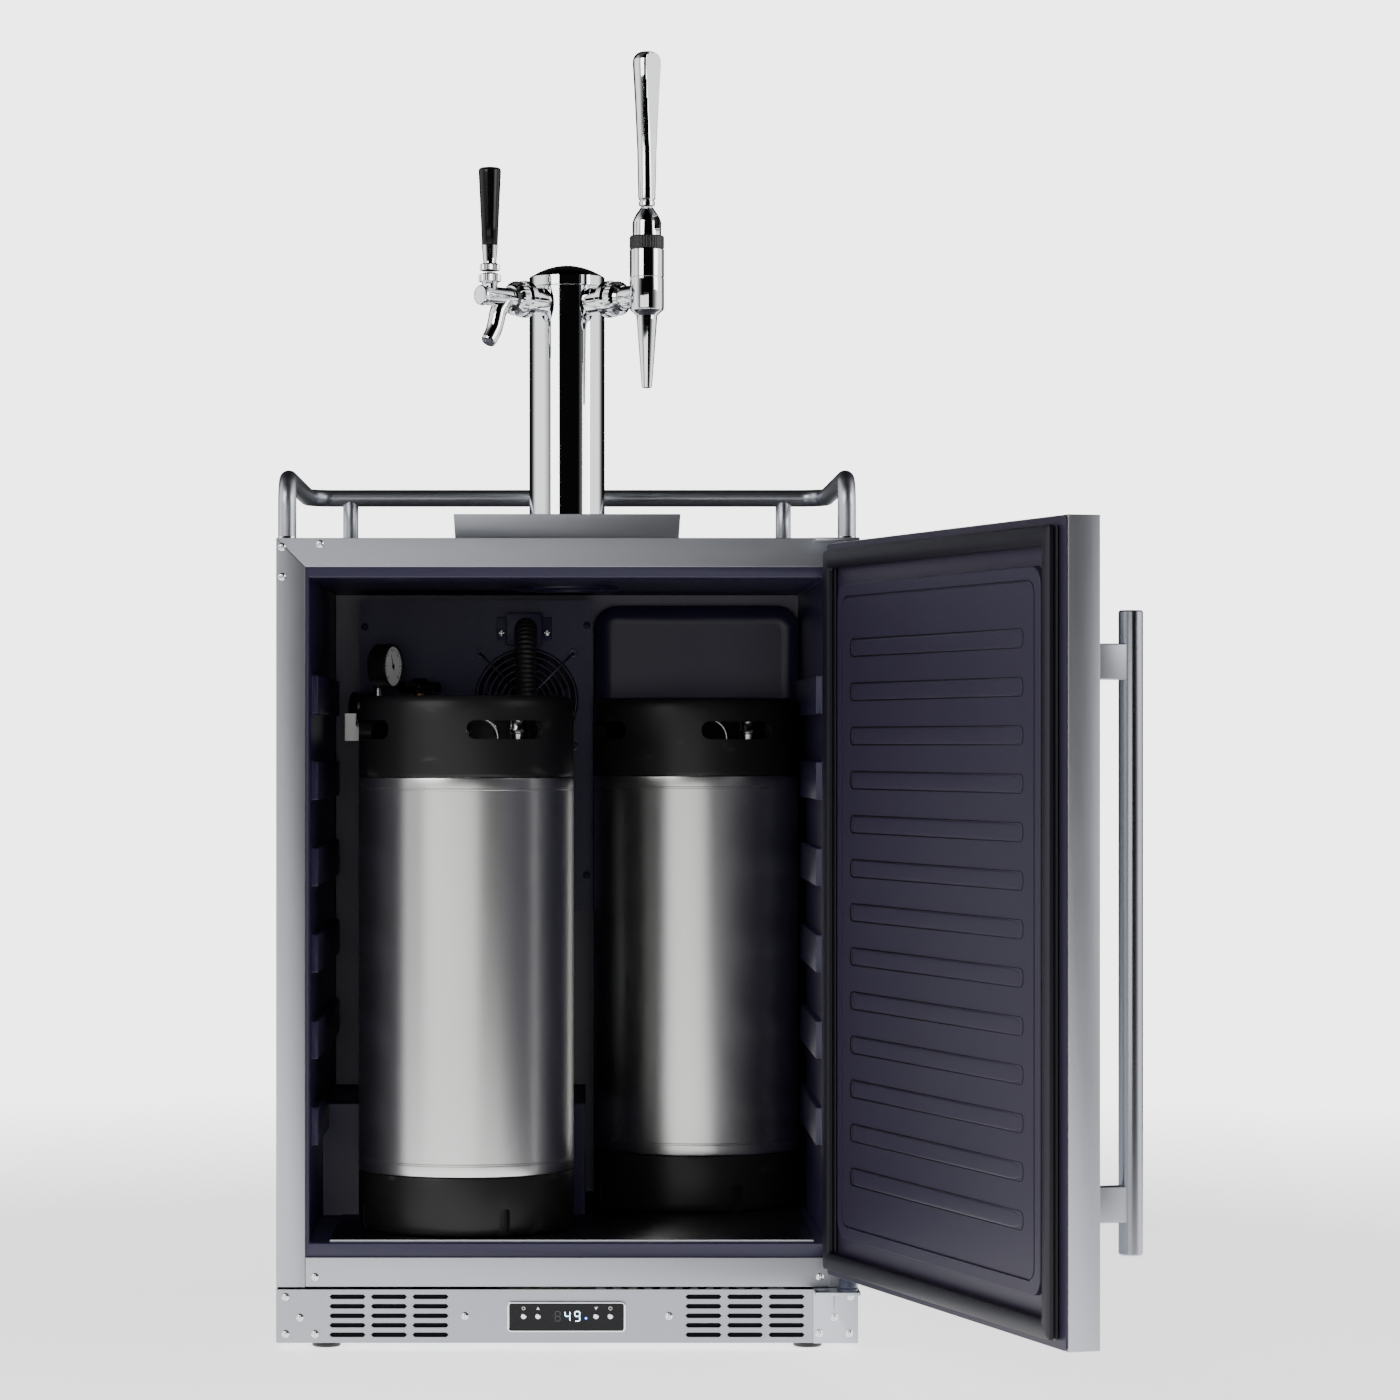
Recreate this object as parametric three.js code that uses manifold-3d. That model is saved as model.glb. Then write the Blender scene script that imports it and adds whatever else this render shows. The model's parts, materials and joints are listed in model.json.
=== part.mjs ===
// A two-tap kegerator: an undercounter cabinet with a hinged door, two kegs and a gas cylinder
// inside, and a draft tower with a beer faucet and a stout faucet on top.
//
// Units are millimetres, X to the right, Y to the back, Z up. The origin is the middle of the
// base pan's underside. The door is drawn shut in its own group, which is turned open on its
// hinge line, and each faucet is drawn facing -Y in a group turned about the tower.

import * as THREE from 'three';
import { mergeVertices } from 'three/addons/utils/BufferGeometryUtils.js';
import Module from 'manifold-3d';

const wasm = await Module();
wasm.setup();

// ---------------------------------------------------------------- driving dimensions

const GAP = 0.3; // left between pieces that touch

const CASE = { width: 600, depth: 600, height: 830, sheet: 1.5 };
const FRONT = -CASE.depth / 2;
const BACK = CASE.depth / 2;
const SIDE = CASE.width / 2;

const FRAME = { depth: 4, stile: 30, kickTop: 55, railBottom: 58, railTop: 88, openingTop: 800 };
const CASE_FRONT = FRONT + FRAME.depth + GAP; // where the wrapper and the liner's flange begin

const LINER = { wall: 3, halfWidth: 266, floor: 102.7, ceiling: 789, back: 200, flange: 16 };
const HUMP = { right: 20, front: -44, top: 226 }; // the step over the compressor, left and rear
const LEDGE = { proud: 7, height: 40, pitch: 90, top: 689, rows: 6, front: -255, back: 160 };

const FLOOR = { top: 105, sheet: 2, left: -245, right: 255, front: -286, back: 195 };

const GRILLE = { sheet: 2, columns: [140.7, 183.5, 226.3], slot: 37.6, height: 4.9, pitch: 9.8, middle: 28 };
const PANEL = { width: 122, height: 31.4, z: 27.3, proud: 2.5, depth: 6, corner: 4 };
const BUTTON = { radius: 3, clearance: 0.4, proud: 1.2, length: 6, z: 27.8 };
const BUTTONS = { button_unit: -44.7, button_up: -29.9, button_down: 29.9, button_power: 44.7 };

const DOOR = {
  width: 594, bottom: 73.4, top: 823, edge: 31, sheet: 1.2, face: -345,
  hingeX: 287, hingeY: -330, openDegrees: 107.6,
};
const DOOR_BACK = DOOR.face + DOOR.edge; // the rear edge of the folded steel skin
const GASKET = { width: 19, inset: 13, face: FRONT - 0.5 };
const HANDLE = { radius: 11.2, length: 588, z: 445.4, fromEdge: 55, stand: 55.5, post: 33, postReach: 247 };
const HINGE = { pin: 4, plate: 3, left: 254, lowerTop: 57, upperBottom: 825.5 };
const GUSSET = { x: 275, reach: 24, drop: 22, thickness: 2.4 };

const COVER = { left: -233, right: 29, front: 100, bottom: 430, top: 779, sheet: 2 };
const FAN = { x: -45.5, z: 667, radius: 57, hub: 19, blades: 7, front: 104, depth: 18, screwPitch: 105 };
const HOSE_RADIUS = 12.5;
const HOSE_BRACKET = { x: -48, bottom: 728, height: 36, width: 40, depth: 18, flange: 62, flangeHeight: 26 };
const COMPRESSOR = { x: -160, y: 140 };
const INLET = { x: 210, z: 75, width: 44, height: 32 };

const TOWER = {
  radius: 41.5, wall: 2, seam: 1119, edge: 1130, top: 1143.5, flange: 55, shankZ: 1102, sides: 24,
};
const LINE_HOLE = 36; // radius of the way through the liner's ceiling for the beer lines
const SHANK = { saddle: 15.3, thread: 11, collar: 20, nut: 17.5, end: 87.7 };
const TRAY = {
  halfWidth: 120, front: -190, back: -50, bottom: CASE.height + GAP, top: 860.5, wall: 2,
  lean: 2, rim: 3, ledge: 7, ledgeDrop: 5,
};
const RAIL = { radius: 9.5, x: 290.5, top: 893.5, front: -275, back: 102, rearPost: 243, bend: 28 };

const BEER_TAP = { reach: 118, turn: -45, pivotZ: 1112, collarFoot: 17, ferrule: 27.5, handleTop: 1240.5 };
const STOUT_TAP = { reach: 122, turn: 45, pivotZ: 1180, radius: 18.6 };

const KEG = {
  radius: 114.3, bottom: FLOOR.top + GAP, baseTop: 167, topBottom: 583, top: 668.3, neck: 104, sides: 20,
  handHole: { width: 86, height: 19.7, z: 632.5, turn: 23.6 },
  notch: { width: 11.4, height: 29, turn: 21.9 },
};
const KEGS = { keg_left: [-107, -163], keg_right: [144, 75] };
const CYLINDER = { x: -163, y: 28, radius: 66.5, shoulder: 585, neck: 632, wall: 4, outletZ: 652, valve: 41 };
const GAUGE = { middle: [-36, -28, 703], facing: [0.914, -0.407, 0], radius: 24.6, behind: 12, ahead: 10 };

const FOOT = { x: 250, y: -262, pad: 15, bottom: -8, top: -2.2, stem: 4, stemTop: 18 };
const ROLLER = { y: 262, z: 6, radius: 14, axle: 3, x: 230, width: 20, axleHalf: 262 };

// ---------------------------------------------------------------- finishes

const finish = (color, roughness, metalness) => (
  new THREE.MeshStandardMaterial({ color, roughness, metalness })
);
const FINISH = {
  brushed: finish(0xb9bcc2, 0.35, 1),
  chrome: finish(0xe6e8ea, 0.08, 1),
  kegSteel: finish(0xb8b7b4, 0.3, 1),
  galvanised: finish(0x9a9da0, 0.5, 1),
  linerPlastic: finish(0x1e1d2a, 0.45, 0),
  doorPlastic: finish(0x332f3b, 0.5, 0),
  gasket: finish(0x1b1921, 0.6, 0),
  darkMetal: finish(0x17171c, 0.5, 0.2),
  blackPlastic: finish(0x0b0b0d, 0.25, 0),
  blackRubber: finish(0x101011, 0.6, 0),
  foam: finish(0xd9c9a0, 0.9, 0),
  aluminium: finish(0xb5b8bb, 0.4, 1),
  brass: finish(0xb58a3c, 0.3, 1),
  compressorPaint: finish(0x121214, 0.4, 0.1),
  dial: finish(0xe8e8e4, 0.3, 0),
};

// ---------------------------------------------------------------- shaping helpers

/** A closed three.js geometry as a solid that can be joined and cut. */
function solid(geometry) {
  const bare = geometry.clone();
  bare.deleteAttribute('normal');
  bare.deleteAttribute('uv');
  const merged = mergeVertices(bare, 1e-4);
  return new wasm.Manifold(new wasm.Mesh({
    numProp: 3,
    vertProperties: new Float32Array(merged.attributes.position.array),
    triVerts: new Uint32Array(merged.index.array),
  }));
}

/** A solid back as a three.js geometry. */
function geometryOf(manifold) {
  const mesh = manifold.getMesh();
  const geometry = new THREE.BufferGeometry();
  geometry.setAttribute('position', new THREE.BufferAttribute(new Float32Array(mesh.vertProperties), 3));
  geometry.setIndex(new THREE.BufferAttribute(new Uint32Array(mesh.triVerts), 1));
  geometry.computeVertexNormals();
  return geometry;
}

const join = (...pieces) => geometryOf(pieces.map(solid).reduce((a, b) => a.add(b)));
const cut = (body, ...tools) => geometryOf(tools.map(solid).reduce((a, b) => a.subtract(b), solid(body)));
const common = (a, b) => geometryOf(solid(a).intersect(solid(b)));

/** A box between two corners. */
function block(x0, x1, y0, y1, z0, z1) {
  const box = new THREE.BoxGeometry(x1 - x0, y1 - y0, z1 - z0);
  return box.translate((x0 + x1) / 2, (y0 + y1) / 2, (z0 + z1) / 2);
}

/** A round bar between two points. */
function bar(from, to, radius, sides = 16, endRadius = radius) {
  const a = new THREE.Vector3(...from);
  const b = new THREE.Vector3(...to);
  const along = b.clone().sub(a);
  const geometry = new THREE.CylinderGeometry(endRadius, radius, along.length(), sides);
  const up = new THREE.Vector3(0, 1, 0);
  const turn = new THREE.Quaternion().setFromUnitVectors(up, along.clone().normalize());
  return geometry.applyQuaternion(turn).translate(...a.add(b).multiplyScalar(0.5).toArray());
}

/** An outline of [radius, z] points turned about the Z axis. It runs up the outside. */
function turned(outline, sides = 20) {
  const points = outline.map(([r, z]) => new THREE.Vector2(r, z));
  return new THREE.LatheGeometry(points, sides).rotateX(Math.PI / 2);
}

/** A flat outline in the XZ plane, thickened from y0 back to y1. */
function upright(shape, y0, y1, curveSegments = 6) {
  const plate = new THREE.ExtrudeGeometry(shape, { depth: y1 - y0, bevelEnabled: false, curveSegments });
  return plate.rotateX(Math.PI / 2).translate(0, y1, 0);
}

/** A flat outline in the XY plane, thickened from z0 up to z1. */
function lying(shape, z0, z1, curveSegments = 6) {
  const plate = new THREE.ExtrudeGeometry(shape, { depth: z1 - z0, bevelEnabled: false, curveSegments });
  return plate.translate(0, 0, z0);
}

/** A polygon through the given points. */
function outline(points) {
  return new THREE.Shape(points.map(([x, y]) => new THREE.Vector2(x, y)));
}

/** A rectangle with round corners about a middle point. */
function roundedRectangle(width, height, radius, x = 0, y = 0, Kind = THREE.Shape) {
  const shape = new Kind();
  const [w, h] = [width / 2 - radius, height / 2 - radius];
  shape.absarc(x + w, y + h, radius, 0, Math.PI / 2);
  shape.absarc(x - w, y + h, radius, Math.PI / 2, Math.PI);
  shape.absarc(x - w, y - h, radius, Math.PI, Math.PI * 1.5);
  shape.absarc(x + w, y - h, radius, Math.PI * 1.5, Math.PI * 2);
  shape.closePath();
  return shape;
}

/** A slot with round ends, lying along the first axis, as a hole for a shape. */
function slot(length, height, x, y) {
  const path = new THREE.Path();
  const [reach, radius] = [(length - height) / 2, height / 2];
  path.absarc(x + reach, y, radius, -Math.PI / 2, Math.PI / 2);
  path.absarc(x - reach, y, radius, Math.PI / 2, Math.PI * 1.5);
  path.closePath();
  return path;
}

/** A round tube or rod along a curve. */
function alongCurve(curve, radius, sides, steps) {
  const section = new THREE.Shape();
  section.absarc(0, 0, radius, 0, Math.PI * 2);
  const options = { steps, extrudePath: curve, curveSegments: sides / 2, bevelEnabled: false };
  return new THREE.ExtrudeGeometry(section, options);
}

/** A curve that an extrusion follows exactly from one given point to the next. */
class SteppedCurve extends THREE.Curve {
  constructor(points, directions) {
    super();
    this.points = points;
    this.directions = directions;
  }

  step(u) {
    return Math.round(u * (this.points.length - 1));
  }

  getPointAt(u, target = new THREE.Vector3()) {
    return target.copy(this.points[this.step(u)]);
  }

  getTangentAt(u, target = new THREE.Vector3()) {
    return target.copy(this.directions[this.step(u)]);
  }
}

/** Straight runs through the points, with each square corner rounded to a radius. */
function bentPath(corners, radius, stepsPerBend = 6) {
  const at = corners.map((p) => new THREE.Vector3(...p));
  const heading = at.slice(1).map((p, i) => p.clone().sub(at[i]).normalize());
  const points = [at[0]];
  const directions = [heading[0]];
  for (let i = 1; i < at.length - 1; i += 1) {
    const [into, out] = [heading[i - 1], heading[i]];
    const centre = at[i].clone().addScaledVector(into, -radius).addScaledVector(out, radius);
    for (let k = 0; k <= stepsPerBend; k += 1) {
      const angle = (k / stepsPerBend) * Math.PI / 2;
      const [c, d] = [Math.cos(angle), Math.sin(angle)];
      points.push(centre.clone().addScaledVector(out, -radius * c).addScaledVector(into, radius * d));
      directions.push(into.clone().multiplyScalar(c).addScaledVector(out, d));
    }
  }
  points.push(at[at.length - 1]);
  directions.push(heading[heading.length - 1]);
  return new SteppedCurve(points, directions);
}

function piece(name, geometry, material) {
  const mesh = new THREE.Mesh(geometry, material);
  mesh.name = name;
  return mesh;
}

// ---------------------------------------------------------------- cabinet

/** The steel wrapper: two sides and the top folded from one sheet, open to the front, back and bottom. */
function outerCase() {
  const inner = SIDE - CASE.sheet;
  const shell = upright(outline([
    [-SIDE, 0], [-inner, 0], [-inner, CASE.height - CASE.sheet], [inner, CASE.height - CASE.sheet],
    [inner, 0], [SIDE, 0], [SIDE, CASE.height], [-SIDE, CASE.height],
  ]), CASE_FRONT, BACK);
  return cut(shell, bar([0, 0, CASE.height - 10], [0, 0, CASE.height + 10], TOWER.radius - TOWER.wall, 24));
}

/** The tray under everything, with holes for the feet and slots and lugs for the rear rollers. */
function basePan() {
  const edge = SIDE - CASE.sheet - 0.5;
  const [front, back] = [CASE_FRONT, BACK - 3];
  const tray = cut(
    block(-edge, edge, front, back, 0, 20),
    block(-edge + 1.5, edge - 1.5, front + 1.5, back - 1.5, 1.5, 30),
  );
  const lugs = [-1, 1].flatMap((side) => [ROLLER.x - 18, ROLLER.x + 15].map((x) => {
    const [a, b] = [side * x, side * (x + 3)].sort((p, q) => p - q);
    return block(a, b, ROLLER.y - 8, ROLLER.y + 8, 1, 14);
  }));
  const slots = [-1, 1].map((side) => block(
    side * ROLLER.x - ROLLER.width / 2 - 2, side * ROLLER.x + ROLLER.width / 2 + 2,
    ROLLER.y - ROLLER.radius - 2, ROLLER.y + ROLLER.radius + 2, -5, 2.5,
  ));
  const axleHole = bar([-SIDE, ROLLER.y, ROLLER.z], [SIDE, ROLLER.y, ROLLER.z], ROLLER.axle + 0.3, 12);
  const hollow = cut(join(tray, ...lugs), ...slots);
  const axleBore = common(axleHole, block(-edge + 10, edge - 10, 0, BACK, 0, 20));
  const footHoles = [-1, 1].map((side) => bar(
    [side * FOOT.x, FOOT.y, -5], [side * FOOT.x, FOOT.y, 5], FOOT.stem + 0.5, 16,
  ));
  return cut(hollow, axleBore, ...footHoles);
}

function rearPanel() {
  const edge = SIDE - CASE.sheet - GAP;
  return block(-edge, edge, BACK - 3, BACK - 1.5, 205, CASE.height - CASE.sheet - GAP);
}

/** The louvred sheet over the compressor bay. */
function rearCover() {
  const edge = SIDE - CASE.sheet - GAP;
  const sheet = outline([[-edge, 21], [edge, 21], [edge, 204.5], [-edge, 204.5]]);
  for (const x of [-150, 0]) {
    for (let row = 0; row < 8; row += 1) {
      sheet.holes.push(slot(120, 6, x, 50 + row * 18));
    }
  }
  const window = [INLET.width + 2, INLET.height + 2];
  sheet.holes.push(roundedRectangle(...window, 0.5, INLET.x, INLET.z, THREE.Path));
  return upright(sheet, BACK - 3, BACK - 1.5, 1);
}

/** The appliance socket in the rear cover, with its three blades. */
function powerInlet() {
  const { x, z, width, height } = INLET;
  const [w, h] = [width / 2, height / 2];
  const body = block(x - w, x + w, BACK - 30, BACK - 0.5, z - h, z + h);
  const socket = block(x - w + 4, x + w - 4, BACK - 20, BACK + 5, z - h + 5, z + h - 5);
  const blades = [-12, 0, 12].map((at) => block(x + at - 1, x + at + 1, BACK - 22, BACK - 8, z - 3, z + 3));
  return join(cut(body, socket), ...blades);
}

/** Moulded liner: an open-fronted box with a step over the compressor, shelf ledges and a front flange. */
function liner() {
  const { wall, halfWidth, floor, ceiling, back, flange } = LINER;
  const w = halfWidth + wall;
  const outer = cut(
    block(-w, w, CASE_FRONT, back + wall, floor - wall, ceiling + wall),
    block(-w - 1, HUMP.right - wall, HUMP.front + wall, back + wall + 1, floor - wall - 1, HUMP.top - wall),
  );
  const inner = cut(
    block(-halfWidth, halfWidth, FRONT - 10, back, floor, ceiling),
    block(-w, HUMP.right, HUMP.front, back + 1, floor - 1, HUMP.top),
  );
  const flangePlate = block(-w - flange, w + flange, CASE_FRONT, CASE_FRONT + wall, floor - 22, ceiling + 22);
  const ledges = [];
  for (let row = 0; row < LEDGE.rows; row += 1) {
    const top = LEDGE.top - row * LEDGE.pitch;
    for (const side of [-1, 1]) {
      const [a, b] = [side * (halfWidth - LEDGE.proud), side * (halfWidth + 1)].sort((p, q) => p - q);
      const stopsAtStep = side < 0 && top - LEDGE.height < HUMP.top;
      const end = stopsAtStep ? HUMP.front - 10 : LEDGE.back;
      ledges.push(block(a, b, LEDGE.front, end, top - LEDGE.height, top));
    }
  }
  const lineHole = bar([0, 0, ceiling - 5], [0, 0, ceiling + 10], LINE_HOLE, 24);
  return cut(join(cut(join(outer, flangePlate), inner), ...ledges), lineHole);
}

/** The foamed-in-place insulation between the wrapper and the liner. */
function foamInsulation() {
  const { wall, halfWidth, floor, ceiling, back } = LINER;
  const edge = SIDE - CASE.sheet - GAP;
  const w = halfWidth + wall + GAP;
  const front = CASE_FRONT + wall + GAP;
  const body = block(-edge, edge, front, BACK - 3 - GAP, 60, CASE.height - CASE.sheet - GAP);
  const cavity = cut(
    block(-w, w, FRONT - 10, back + wall + GAP, floor - wall - GAP, ceiling + wall + GAP),
    block(-w - 1, HUMP.right - wall - GAP, HUMP.front + wall + GAP, BACK, 0, HUMP.top - wall - GAP),
  );
  const bay = block(-edge - 1, -16, -8, BACK + 1, 50, 186);
  const inletPocket = block(150, edge + 1, BACK - 40, BACK + 1, 50, 120);
  const lineHole = bar([0, 0, 700], [0, 0, 900], TOWER.radius - 2, 24);
  return cut(body, cavity, bay, inletPocket, lineHole);
}

function faceStile(side) {
  const inner = SIDE - FRAME.stile;
  const points = [[SIDE, 57.5], [inner, 57.5], [inner, FRAME.openingTop - GAP], [SIDE, CASE.height - GAP]];
  const placed = points.map(([x, z]) => [side * x, z]);
  return upright(outline(placed), FRONT, FRONT + FRAME.depth);
}

function faceRailTop() {
  const [outer, inner] = [SIDE - GAP, SIDE - FRAME.stile - GAP];
  return upright(outline([
    [-outer, CASE.height], [-inner, FRAME.openingTop], [inner, FRAME.openingTop], [outer, CASE.height],
  ]), FRONT, FRONT + FRAME.depth);
}

function faceRailBottom() {
  const inner = SIDE - FRAME.stile - GAP;
  return block(-inner, inner, FRONT, FRONT + FRAME.depth, FRAME.railBottom, FRAME.railTop);
}

/** The steel kick plate with two banks of round-ended slots and the control panel's window. */
function kickGrille() {
  const plate = outline([[-SIDE, 0], [SIDE, 0], [SIDE, FRAME.kickTop], [-SIDE, FRAME.kickTop]]);
  for (const side of [-1, 1]) {
    for (const x of GRILLE.columns) {
      for (let row = -2; row <= 2; row += 1) {
        const z = GRILLE.middle + row * GRILLE.pitch;
        plate.holes.push(slot(GRILLE.slot, GRILLE.height, side * x, z));
      }
    }
  }
  plate.holes.push(roundedRectangle(PANEL.width, PANEL.height, PANEL.corner, -0.5, PANEL.z, THREE.Path));
  return upright(plate, FRONT, FRONT + GRILLE.sheet, 1);
}

function controlPanel() {
  const [width, height] = [PANEL.width - 2 * GAP, PANEL.height - 2 * GAP];
  const face = roundedRectangle(width, height, PANEL.corner - GAP, -0.5, PANEL.z);
  for (const x of Object.values(BUTTONS)) {
    const hole = new THREE.Path();
    hole.absarc(x, BUTTON.z, BUTTON.radius + BUTTON.clearance, 0, Math.PI * 2);
    face.holes.push(hole);
  }
  return upright(face, FRONT - PANEL.proud, FRONT + PANEL.depth - PANEL.proud, 5);
}

function button(x) {
  const front = FRONT - PANEL.proud - BUTTON.proud;
  return bar([x, front, BUTTON.z], [x, front + BUTTON.length, BUTTON.z], BUTTON.radius, 20);
}

/** The loose steel plate that the kegs stand on, cut round the liner's step. */
function floorPlate() {
  const clearance = 3;
  const plate = lying(outline([
    [FLOOR.left, FLOOR.front], [FLOOR.right, FLOOR.front], [FLOOR.right, FLOOR.back],
    [HUMP.right + clearance, FLOOR.back], [HUMP.right + clearance, HUMP.front - clearance],
    [FLOOR.left, HUMP.front - clearance],
  ]), FLOOR.top - FLOOR.sheet, FLOOR.top);
  return plate;
}

function levellingFoot() {
  return turned([
    [0, FOOT.bottom], [FOOT.pad - 1, FOOT.bottom], [FOOT.pad, FOOT.bottom + 1.5], [FOOT.pad, FOOT.top - 2],
    [FOOT.pad - 3, FOOT.top], [FOOT.stem, FOOT.top], [FOOT.stem, FOOT.stemTop], [0, FOOT.stemTop],
  ], 12);
}

/** Two wheels on one axle. */
function rearRoller() {
  const { y, z, radius, axle, x, width, axleHalf } = ROLLER;
  const wheels = [-1, 1].map((side) => bar(
    [side * x - width / 2, y, z], [side * x + width / 2, y, z], radius, 20,
  ));
  return join(bar([-axleHalf, y, z], [axleHalf, y, z], axle - 0.1, 12), ...wheels);
}

// ---------------------------------------------------------------- cooling

function evaporatorCover() {
  const { left, right, front, bottom, top, sheet } = COVER;
  const box = block(left, right, front, LINER.back - GAP, bottom, top);
  const hollow = block(
    left + sheet, right - sheet, front + sheet, LINER.back + 5, bottom + sheet, top - sheet,
  );
  const mouth = bar([FAN.x, front - 5, FAN.z], [FAN.x, front + 5, FAN.z], FAN.radius + 1.5, 32);
  return cut(box, hollow, mouth);
}

function evaporatorCoil() {
  const [left, right, back] = [COVER.left + 8, COVER.right - 8, LINER.back - 4];
  const core = block(left, right, back - 40, back, COVER.bottom + 12, COVER.top - 12);
  const grooves = [];
  for (let x = left + 14; x < right - 8; x += 18) {
    grooves.push(block(x, x + 8, back - 45, back - 20, COVER.bottom, COVER.top));
  }
  return cut(core, ...grooves);
}

function fanMotor() {
  const [x, z] = [FAN.x, FAN.z];
  const start = FAN.front + FAN.depth + 0.8;
  return bar([x, start, z], [x, LINER.back - 4 - 40 - GAP, z], 26, 24);
}

/** A hub with pitched blades, spinning about Y. */
function fanBlades() {
  const hub = bar([0, FAN.front, 0], [0, FAN.front + FAN.depth, 0], FAN.hub, 24);
  const blades = [];
  for (let i = 0; i < FAN.blades; i += 1) {
    const blade = block(-15, 15, -1, 1, FAN.hub - 4, FAN.radius - 3);
    blade.rotateZ(THREE.MathUtils.degToRad(28));
    blade.translate(0, FAN.front + FAN.depth / 2, 0);
    blade.rotateY((i / FAN.blades) * Math.PI * 2);
    blades.push(blade);
  }
  return join(hub, ...blades).translate(FAN.x, 0, FAN.z);
}

/** Concentric wire rings on four spokes, which end in screw eyes. */
function fanGuard() {
  const wire = 1.3;
  const y = COVER.front - GAP - wire - 0.5;
  const parts = [];
  for (let radius = 56; radius > 15; radius -= 14) {
    parts.push(new THREE.TorusGeometry(radius, wire, 4, 16).rotateX(Math.PI / 2));
  }
  const reach = FAN.screwPitch / 2;
  for (const [sx, sz] of [[1, 1], [-1, 1], [-1, -1], [1, -1]]) {
    parts.push(bar([sx * 13, -wire, sz * 13], [sx * reach, -wire, sz * reach], wire, 5));
    parts.push(bar([sx * reach, -1.8, sz * reach], [sx * reach, 1.8, sz * reach], 5, 8));
  }
  return join(...parts).translate(FAN.x, y, FAN.z);
}

/** The block that holds the hose's upper end against the evaporator cover, on a screwed flange. */
function hoseBracket() {
  const { x, bottom, height, width, depth, flange, flangeHeight } = HOSE_BRACKET;
  const back = COVER.front - GAP;
  const middle = bottom + height / 2 + 1;
  const plate = block(
    x - flange / 2, x + flange / 2, back - 1.5, back, middle - flangeHeight / 2, middle + flangeHeight / 2,
  );
  const box = block(x - width / 2, x + width / 2, back - depth, back, bottom, bottom + height);
  return join(plate, box);
}

/** The route of the corrugated hose from its bracket down to the liner's step. */
const HOSE_ROUTE = [
  [-46, 81, 746], [-46, 75, 746], [-46, 67, 742.5], [-46, 58.5, 734], [-46, 53, 725], [-46, 49, 714],
  [-46, 46.5, 702], [-46, 45, 688], [-45.5, 44, 670], [-45, 43, 645], [-44.5, 42, 615], [-44, 41, 580],
  [-43.5, 40, 540], [-43, 39, 500], [-42.5, 38, 455], [-42, 37, 410], [-41.5, 36, 365], [-41, 35.4, 325],
  [-41, 35, 290], [-41, 35, 258], [-41, 35, HUMP.top + GAP],
];

function coolingHose() {
  const route = new THREE.CatmullRomCurve3(HOSE_ROUTE.map((p) => new THREE.Vector3(...p)));
  return alongCurve(route, HOSE_RADIUS, 8, 20);
}

function compressor() {
  const pot = turned([
    [0, 24], [46, 24], [66, 34], [71, 50], [71, 96], [74, 97], [74, 103], [71, 104], [70, 132], [58, 152],
    [34, 162], [0, 164],
  ], 20);
  const plate = block(-88, 88, -52, 52, 16, 26);
  return join(pot, plate).translate(COMPRESSOR.x, COMPRESSOR.y, 0);
}

/** Finned block that the compressor's heat leaves by, behind the kick plate's right-hand slots. */
function condenser() {
  const core = block(30, 225, FRONT + 25, FRONT + 105, 24, 54);
  const grooves = [];
  for (let x = 40; x < 215; x += 16) {
    grooves.push(block(x, x + 8, FRONT, FRONT + 110, 34, 60));
  }
  return cut(core, ...grooves);
}

// ---------------------------------------------------------------- top: rail, tray and tower

function guardRail() {
  const { radius, x, top, front, back, rearPost, bend } = RAIL;
  const foot = CASE.height + GAP;
  const run = bentPath([
    [-x, front, foot], [-x, front, top], [-x, back, top], [x, back, top], [x, front, top], [x, front, foot],
  ], bend);
  const posts = [-1, 1].map((side) => {
    const at = side * rearPost;
    return bar([at, back, foot], [at, back, top], radius * 0.9, 12);
  });
  return join(alongCurve(run, radius, 10, run.points.length - 1), ...posts);
}

/** The open-topped drip tray, its side walls leaning in to the bottom, with a ledge for the grid. */
function dripTray() {
  const { halfWidth, front, back, bottom, top, wall, lean, rim, ledge, ledgeDrop } = TRAY;
  const body = upright(outline([
    [-halfWidth + lean, bottom], [halfWidth - lean, bottom], [halfWidth, top], [-halfWidth, top],
  ]), front, back);
  return cut(
    body,
    block(-halfWidth + ledge, halfWidth - ledge, front + ledge, back - ledge, bottom + wall, top + 5),
    block(-halfWidth + rim, halfWidth - rim, front + rim, back - rim, top - ledgeDrop, top + 5),
  );
}

function dripGrid() {
  const margin = TRAY.rim + 0.6;
  const [width, depth] = [2 * (TRAY.halfWidth - margin), TRAY.back - TRAY.front - 2 * margin];
  const middle = (TRAY.front + TRAY.back) / 2;
  const sheet = roundedRectangle(width, depth, 1, 0, middle);
  for (const x of [-58, 58]) {
    for (let row = -3; row <= 3; row += 1) {
      sheet.holes.push(slot(100, 8, x, middle + row * 17));
    }
  }
  return lying(sheet, TRAY.top - 4.6, TRAY.top - 2, 1);
}

function shankHoles(radius) {
  return [BEER_TAP, STOUT_TAP].map(({ turn }) => {
    const a = THREE.MathUtils.degToRad(turn);
    return bar([0, 0, TOWER.shankZ], [80 * Math.sin(a), -80 * Math.cos(a), TOWER.shankZ], radius, 20);
  });
}

function towerColumn() {
  const { radius, wall, seam, flange } = TOWER;
  const foot = CASE.height + GAP;
  const tube = turned([
    [radius - wall, foot], [flange - 6, foot], [flange - 6, foot + 2], [radius + 1, foot + 4],
    [radius, foot + 6],
    [radius, seam], [radius - wall, seam], [radius - wall, foot],
  ], TOWER.sides);
  return cut(tube, ...shankHoles(12));
}

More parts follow.
